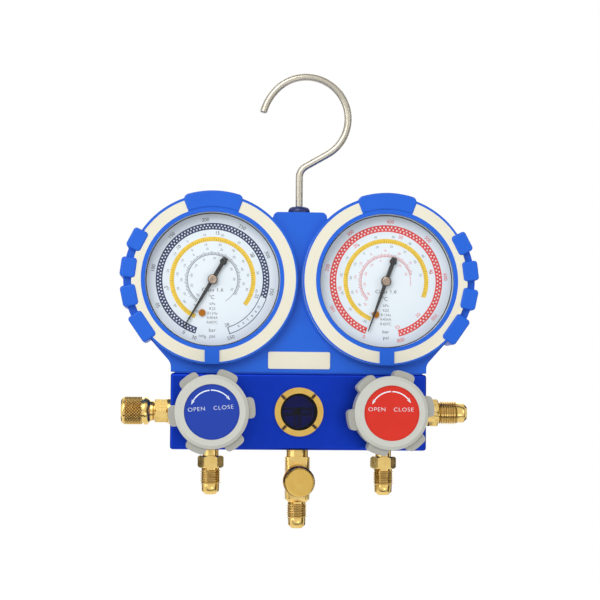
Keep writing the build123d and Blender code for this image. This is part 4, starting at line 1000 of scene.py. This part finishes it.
@dataclass
class KnurledBarrel(Turning):
    """A cap with a diamond knurl on its barrel.

    Attributes:
        teeth: Number of diamonds round the barrel.
    """

    teeth: int
    # What keeps a vertex's column clear of the rounding, and how far the inner wall lies inside the roots
    form, off_grid, wall = "knurled", 0.25, 0.3

    def roughen(self, mesh: Shape) -> None:
        """Adds the sleeve of diamonds as one closed shell round the core."""
        low, high = self.zone
        columns = self.teeth * 2
        # An even number of rows, about as high as they are wide
        rows = max(4, 2 * round((high - low) / (2 * pi * self.radius / columns) / 2))
        rise = (high - low) * MM / rows
        sleeve = bmesh.new()
        bmesh.ops.create_circle(sleeve, segments=columns, radius=self.radius * MM)
        loop = sleeve.edges[:]
        for _ in range(rows):
            verts, loop = self.extrude(sleeve, loop)
            bmesh.ops.translate(sleeve, verts=verts, vec=(0, 0, rise))
        self.cut_diamonds(sleeve, columns, rows, rise)
        self.close_sleeve(sleeve)
        turn = Matrix((self.first, self.second, self.way)).transposed().to_4x4()
        place = Matrix.Translation(self.start + self.way * low * MM) @ turn
        bmesh.ops.transform(sleeve, matrix=place, verts=sleeve.verts[:])
        bmesh.ops.recalc_face_normals(sleeve, faces=sleeve.faces[:])
        for face in sleeve.faces:
            face.material_index = 1
        data = mesh_data(sleeve, "sleeve")
        mesh.from_mesh(data)
        bpy.data.meshes.remove(data)

    def extrude(self, sleeve: Shape, rims: list[Edge]) -> tuple[list[Vertex], list[Edge]]:
        """Extrudes edges in place and returns the new vertices and the new edges."""
        made = bmesh.ops.extrude_edge_only(sleeve, edges=rims)["geom"]
        return [part for part in made if isinstance(part, Vertex)], [part for part in made if isinstance(part, Edge)]

    def cut_diamonds(self, sleeve: Shape, columns: int, rows: int, rise: float) -> None:
        """Sinks every other vertex and splits the faces along the grooves.

        Args:
            sleeve: Plain sleeve along Z.
            columns: Faces round it.
            rows: Faces along it.
            rise: Height of a row in metres.
        """
        sunk = set()
        for vert in sleeve.verts:
            column = round(atan2(vert.co.y, vert.co.x) / (2 * pi) * columns + self.off_grid)
            row = round(vert.co.z / rise)
            if (column + row) % 2 or row in (0, rows):
                sunk.add(vert)
                vert.co.xy *= self.root / self.radius
        for face in sleeve.faces[:]:
            corners = face.verts[:]
            if corners[0] not in sunk or corners[2] not in sunk:
                corners = corners[1:] + corners[:1]
            bmesh.utils.face_split(face, corners[0], corners[2])

    def close_sleeve(self, sleeve: Shape) -> None:
        """Closes the sleeve with an inner wall that lies inside the core."""
        verts, edges = self.extrude(sleeve, [edge for edge in sleeve.edges if edge.is_boundary])
        for vert in verts:
            vert.co.xy *= (self.root - self.wall) / self.root
        bmesh.ops.bridge_loops(sleeve, edges=edges)


# ------------------------------------------------------------------ studio

# Soft boxes: place in metres from what the camera looks at, side in metres and power in watts
LAMPS = {
    "lamp_front": ((-0.5, -1.1, 0.85), 0.9, 10.0),
    "lamp_left": ((-1.5, -0.9, 0.1), 0.9, 6.0),
    "lamp_right": ((1.5, -0.7, 0.3), 0.9, 5.0),
    "lamp_low": ((0.4, -1.1, -0.9), 0.8, 4.0),
    "lamp_back": ((0.3, 1.4, 0.7), 1.2, 7.0),
}
# Black boards that only mirrors see, so that polished metal has dark lines: place, and width and height in metres
BOARDS = {
    "flag_left": ((-0.8, -0.5, 0.0), (0.14, 1.6)),
    "flag_left_back": ((-0.9, 0.7, 0.0), (0.55, 1.6)),
    "flag_right": ((0.85, -0.2, 0.0), (0.5, 1.6)),
    "flag_right_back": ((0.8, 0.8, 0.0), (0.7, 1.6)),
    "flag_below": ((0.0, -0.6, -0.7), (1.6, 0.22)),
    "flag_above": ((0.0, -0.25, 0.85), (1.6, 0.3)),
}


@dataclass
class Studio:
    """Plain pale floor, white surroundings, soft lamps and the camera.

    Attributes:
        drop: How far the floor lies below the part, in millimetres, because the part hangs.
        reach: Radius of the floor in metres.
        glow: Strength of the floor's own light for what sees it, and the share of it that shows.
        ambient: Strength of the light that the surroundings give the part.
        lens: Focal length in millimetres.
        sensor: Width of the camera's sensor in millimetres.
        clip: Nearest and furthest that it sees, in metres.
        distance: Distance of the camera from what it looks at, in millimetres.
        azimuth: Angle of the camera to the right of straight ahead, in degrees.
        elevation: Angle of the camera above the level, in degrees.
        roll: Degrees that the camera is turned about its own axis.
        aim: Point that it looks at, in millimetres of the row frame.
    """

    drop: float = 650.0
    reach: float = 6.0
    glow: Pair = (1.25, 0.75)
    ambient: float = 0.52
    lens: float = 106.0
    sensor: float = 36.0
    clip: Pair = (0.01, 50.0)
    distance: float = 966.0
    azimuth: float = -3.3
    elevation: float = -3.0
    roll: float = 0.45
    aim: Triple = (0.9, 0.0, -120.6)

    def build(self) -> None:
        """Makes everything round the part."""
        self.add_world()
        self.add_floor()
        for name, lamp in LAMPS.items():
            self.add_lamp(name, *lamp)
        for name, board in BOARDS.items():
            self.add_board(name, *board)
        self.add_camera()
        bpy.context.scene.view_settings.view_transform = "Standard"

    def seen(self, tree: Tree) -> Socket:
        """Socket that is 1 for what the camera, a mirror or a window shows, and 0 for light on the part."""
        ray = add_node(tree, "ShaderNodeLightPath")
        mirror = either(tree, ray.outputs["Is Camera Ray"], ray.outputs["Is Glossy Ray"])
        return either(tree, mirror, ray.outputs["Is Transmission Ray"])

    def add_world(self) -> None:
        """Makes surroundings that look white and light the part evenly."""
        world = bpy.data.worlds.new("white_surroundings")
        bpy.context.scene.world = world
        tree = empty_tree(world)
        strength = add_node(tree, "ShaderNodeMix", {0: self.seen(tree), 2: self.ambient, 3: 1.0}, data_type="FLOAT")
        background = add_node(tree, "ShaderNodeBackground", {"Color": linear("#FFFFFF"),
                                                             "Strength": strength.outputs[0]})
        add_node(tree, "ShaderNodeOutputWorld", {"Surface": background.outputs[0]})

    def stage_piece(self, mesh: Shape, name: str, material: Material) -> bpy.types.Object:
        """Turns a bmesh in metres into a piece of the studio; the bmesh is freed."""
        data = mesh_data(mesh, name)
        data.materials.append(material)
        piece = add_object(name, data)
        piece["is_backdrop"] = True
        return piece

    def add_floor(self) -> None:
        """Lays a wide pale floor below the hanging part."""
        mesh = bmesh.new()
        bmesh.ops.create_circle(mesh, cap_ends=True, segments=64, radius=self.reach)
        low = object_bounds()[0]
        bmesh.ops.translate(mesh, verts=mesh.verts[:], vec=(0, 0, low[2] - self.drop * MM))
        material = bpy.data.materials.new("floor_paper_white")
        tree = empty_tree(material)
        strength, share = self.glow
        paper = add_node(tree, "ShaderNodeBsdfDiffuse", {"Color": linear("#F2F2F0")})
        glow = add_node(tree, "ShaderNodeEmission", {"Color": linear("#FFFFFF"), "Strength": strength})
        seen = add_node(tree, "ShaderNodeMath", {0: self.seen(tree), 1: share}, operation="MULTIPLY")
        both = add_node(tree, "ShaderNodeMixShader", {0: seen.outputs[0], 1: paper.outputs[0], 2: glow.outputs[0]})
        add_node(tree, "ShaderNodeOutputMaterial", {"Surface": both.outputs[0]})
        self.stage_piece(mesh, "floor", material)

    def add_lamp(self, name: str, place: Triple, size: float, power: float) -> None:
        """Adds a square soft box that points at the part; see LAMPS."""
        lamp = bpy.data.lights.new(name, "AREA")
        lamp.size, lamp.energy = size, power
        holder = add_object(name, lamp)
        holder.location = Vector(self.aim) * MM + Vector(place)
        holder.rotation_mode = "QUATERNION"
        holder.rotation_quaternion = (-Vector(place)).to_track_quat("-Z", "Y")

    def add_board(self, name: str, place: Triple, size: Pair) -> None:
        """Adds a black board that faces the part; see BOARDS."""
        mesh = bmesh.new()
        bmesh.ops.create_grid(mesh, x_segments=1, y_segments=1, size=0.5)
        bmesh.ops.scale(mesh, vec=(*size, 1), verts=mesh.verts[:])
        turn = (-Vector(place)).to_track_quat("Z", "Y").to_matrix().to_4x4()
        spot = Matrix.Translation(Vector(self.aim) * MM + Vector(place))
        bmesh.ops.transform(mesh, matrix=spot @ turn, verts=mesh.verts[:])
        material = bpy.data.materials.new("board_black")
        material.use_nodes = True
        material.node_tree.nodes["Principled BSDF"].inputs["Base Color"].default_value = linear("#0C0A08")
        board = self.stage_piece(mesh, name, material)
        board.visible_camera = board.visible_diffuse = board.visible_shadow = board.visible_transmission = False

    def add_camera(self) -> None:
        """Sets up the camera."""
        data = bpy.data.cameras.new("camera")
        data.lens, data.sensor_width = self.lens, self.sensor
        data.clip_start, data.clip_end = self.clip
        camera = add_object("camera", data)
        across, up = radians(self.azimuth), radians(self.elevation)
        back = Vector((sin(across) * cos(up), -cos(across) * cos(up), sin(up)))
        camera.location = (Vector(self.aim) + back * self.distance) * MM
        camera.rotation_mode = "QUATERNION"
        look = (-back).to_track_quat("-Z", "Y")
        camera.rotation_quaternion = look @ Quaternion((0, 0, 1), radians(self.roll))
        bpy.context.scene.camera = camera


# ------------------------------------------------------------------ the whole part

DIALS = (
    PressureDial("low", INK_NAVY, INK_GREY, zero=242.0, per_psi=0.723, top=350, step=50, cell=5.0,
                 yellow=(245.0, -37.0), bars=(5, 10, 15, 20, 25), last=("550", "38", -72.0), retard=True),
    PressureDial("high", INK_RED, INK_PINK, zero=248.6, per_psi=0.406, top=800, step=100, cell=10.0,
                 yellow=(248.0, -22.0), bars=(10, 20, 30, 40, 50), last=("800", "55", -75.5), scale=(224.0, -9.0)),
)
LABELS = (WheelLabel("low", "label_blue", 4.5), WheelLabel("high", "label_red", 0.0))

# Solids that take a plain finish; a solid of each side stands once, without its "low_" or "high_"
PLAIN = {
    HOUSING_ABS: ("housing_front", "housing_back"), BLOCK_ANODISED: ("manifold_block",), BUSH_ACETAL: ("hook_bush",),
    LABEL_BLUE: ("low_knob_label",), LABEL_RED: ("high_knob_label",), HOOK_STAINLESS: ("hook", "hook_collar"),
    SIGHT_GLASS: ("sight_glass",), SCREW_OXIDE: ("housing_screws", "block_screws"), GLOW_SILICONE: ("name_plate",),
    SEAL_RUBBER: ("sight_gasket", "left_cap_seal", "front_cap_seal"),
}
PLAIN_PER_SIDE = {"glow_ring": GLOW_SILICONE, "case": CASE_LACQUER, "lens": LENS_ACRYLIC, "dial": DIAL_LACQUER,
                  "pointer": POINTER_LACQUER, "knob": WHEEL_NYLON, "knob_screw": SCREW_OXIDE,
                  "spindle": HOOK_STAINLESS, "packing": SEAL_RUBBER, "adjuster": ADJUSTER_BRASS}
# Brass solids by the direction of their axes, in the same way
BRASS = {Axis.X: ("left_port", "right_port", "left_core", "left_cap"), Axis.Z: ("centre_port",),
         Axis.Y: ("sight_ring", "front_cap", "front_core")}
BRASS_PER_SIDE = {"port": Axis.Z, "stem": Axis.Z, "bonnet": Axis.Y, "movement": Axis.Y, "sector": Axis.Y,
                  "link": Axis.Y, "bourdon_tube": Axis.Y}


def dress_solids() -> None:
    """Gives every solid of the frame its finish."""
    plain = {node: finish for finish, nodes in PLAIN.items() for node in nodes}
    turned = {node: axis for axis, nodes in BRASS.items() for node in nodes}
    for side in ("low", "high"):
        plain |= {f"{side}_{part}": finish for part, finish in PLAIN_PER_SIDE.items()}
        turned |= {f"{side}_{part}": axis for part, axis in BRASS_PER_SIDE.items()}
    for node, finish in plain.items():
        dress(node, finish)
    for node, axis in turned.items():
        dress(node, brass(node, axis))
    rest = set(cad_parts) - set(plain) - set(turned)
    if rest:
        LOG.warning("solids without a finish: %s", sorted(rest))


@dataclass(frozen=True)
class RoughZone:
    """Thread or knurl near the outer end of a fitting, in millimetres.

    Attributes:
        inset: How far from the end it starts.
        length: How long it is.
        crest: Radius of its crests.
        root: Radius of its roots.
    """

    inset: float
    length: float
    crest: float
    root: float

    def span(self, node: str, axis: Axis, far: bool = False) -> Pair:
        """Its lower and upper end along an axis of the row frame, on the solid's far side if that is the outer one."""
        index = list(Axis).index(axis)
        low, high = (corner[index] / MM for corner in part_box(node))
        if far:
            return high - self.inset - self.length, high - self.inset
        return low + self.inset, low + self.inset + self.length


HOSE_FLARE, VACUUM_FLARE = RoughZone(4.8, 9.5, 5.556, 4.8), RoughZone(4.9, 11.1, 6.35, 5.6)
LEFT_KNURL, FRONT_KNURL = RoughZone(1.5, 10.0, 7.6, 7.1), RoughZone(1.5, 10.8, 8.35, 7.85)


def rough_fittings() -> list[Turning]:
    """Fittings that get a thread or a knurl, ready to build."""
    ports = {"low_port": (Axis.Z, HOSE_FLARE), "high_port": (Axis.Z, HOSE_FLARE),
             "centre_port": (Axis.Z, HOSE_FLARE), "right_port": (Axis.X, VACUUM_FLARE)}
    caps = {"left_cap": (Axis.X, LEFT_KNURL, 28), "front_cap": (Axis.Y, FRONT_KNURL, 31)}
    threads = [ThreadedEnd(node, "manifold", axis, zone.span(node, axis, far=node == "right_port"), zone.crest,
                           zone.root) for node, (axis, zone) in ports.items()]
    knurls = [KnurledBarrel(node, node, axis, zone.span(node, axis), zone.crest, zone.root, teeth)
              for node, (axis, zone, teeth) in caps.items()]
    return threads + knurls


def main() -> None:
    """Builds the dressed part and the studio round it."""
    logging.basicConfig(level=logging.INFO, format="%(message)s")
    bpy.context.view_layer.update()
    Studio().build()
    dress_solids()
    for dial in DIALS:
        dial.build()
        add_hub_cap(dial.side)
    for piece in (*LABELS, *rough_fittings()):
        piece.build()
    add_sight_details()


if __name__ == "__main__":
    main()
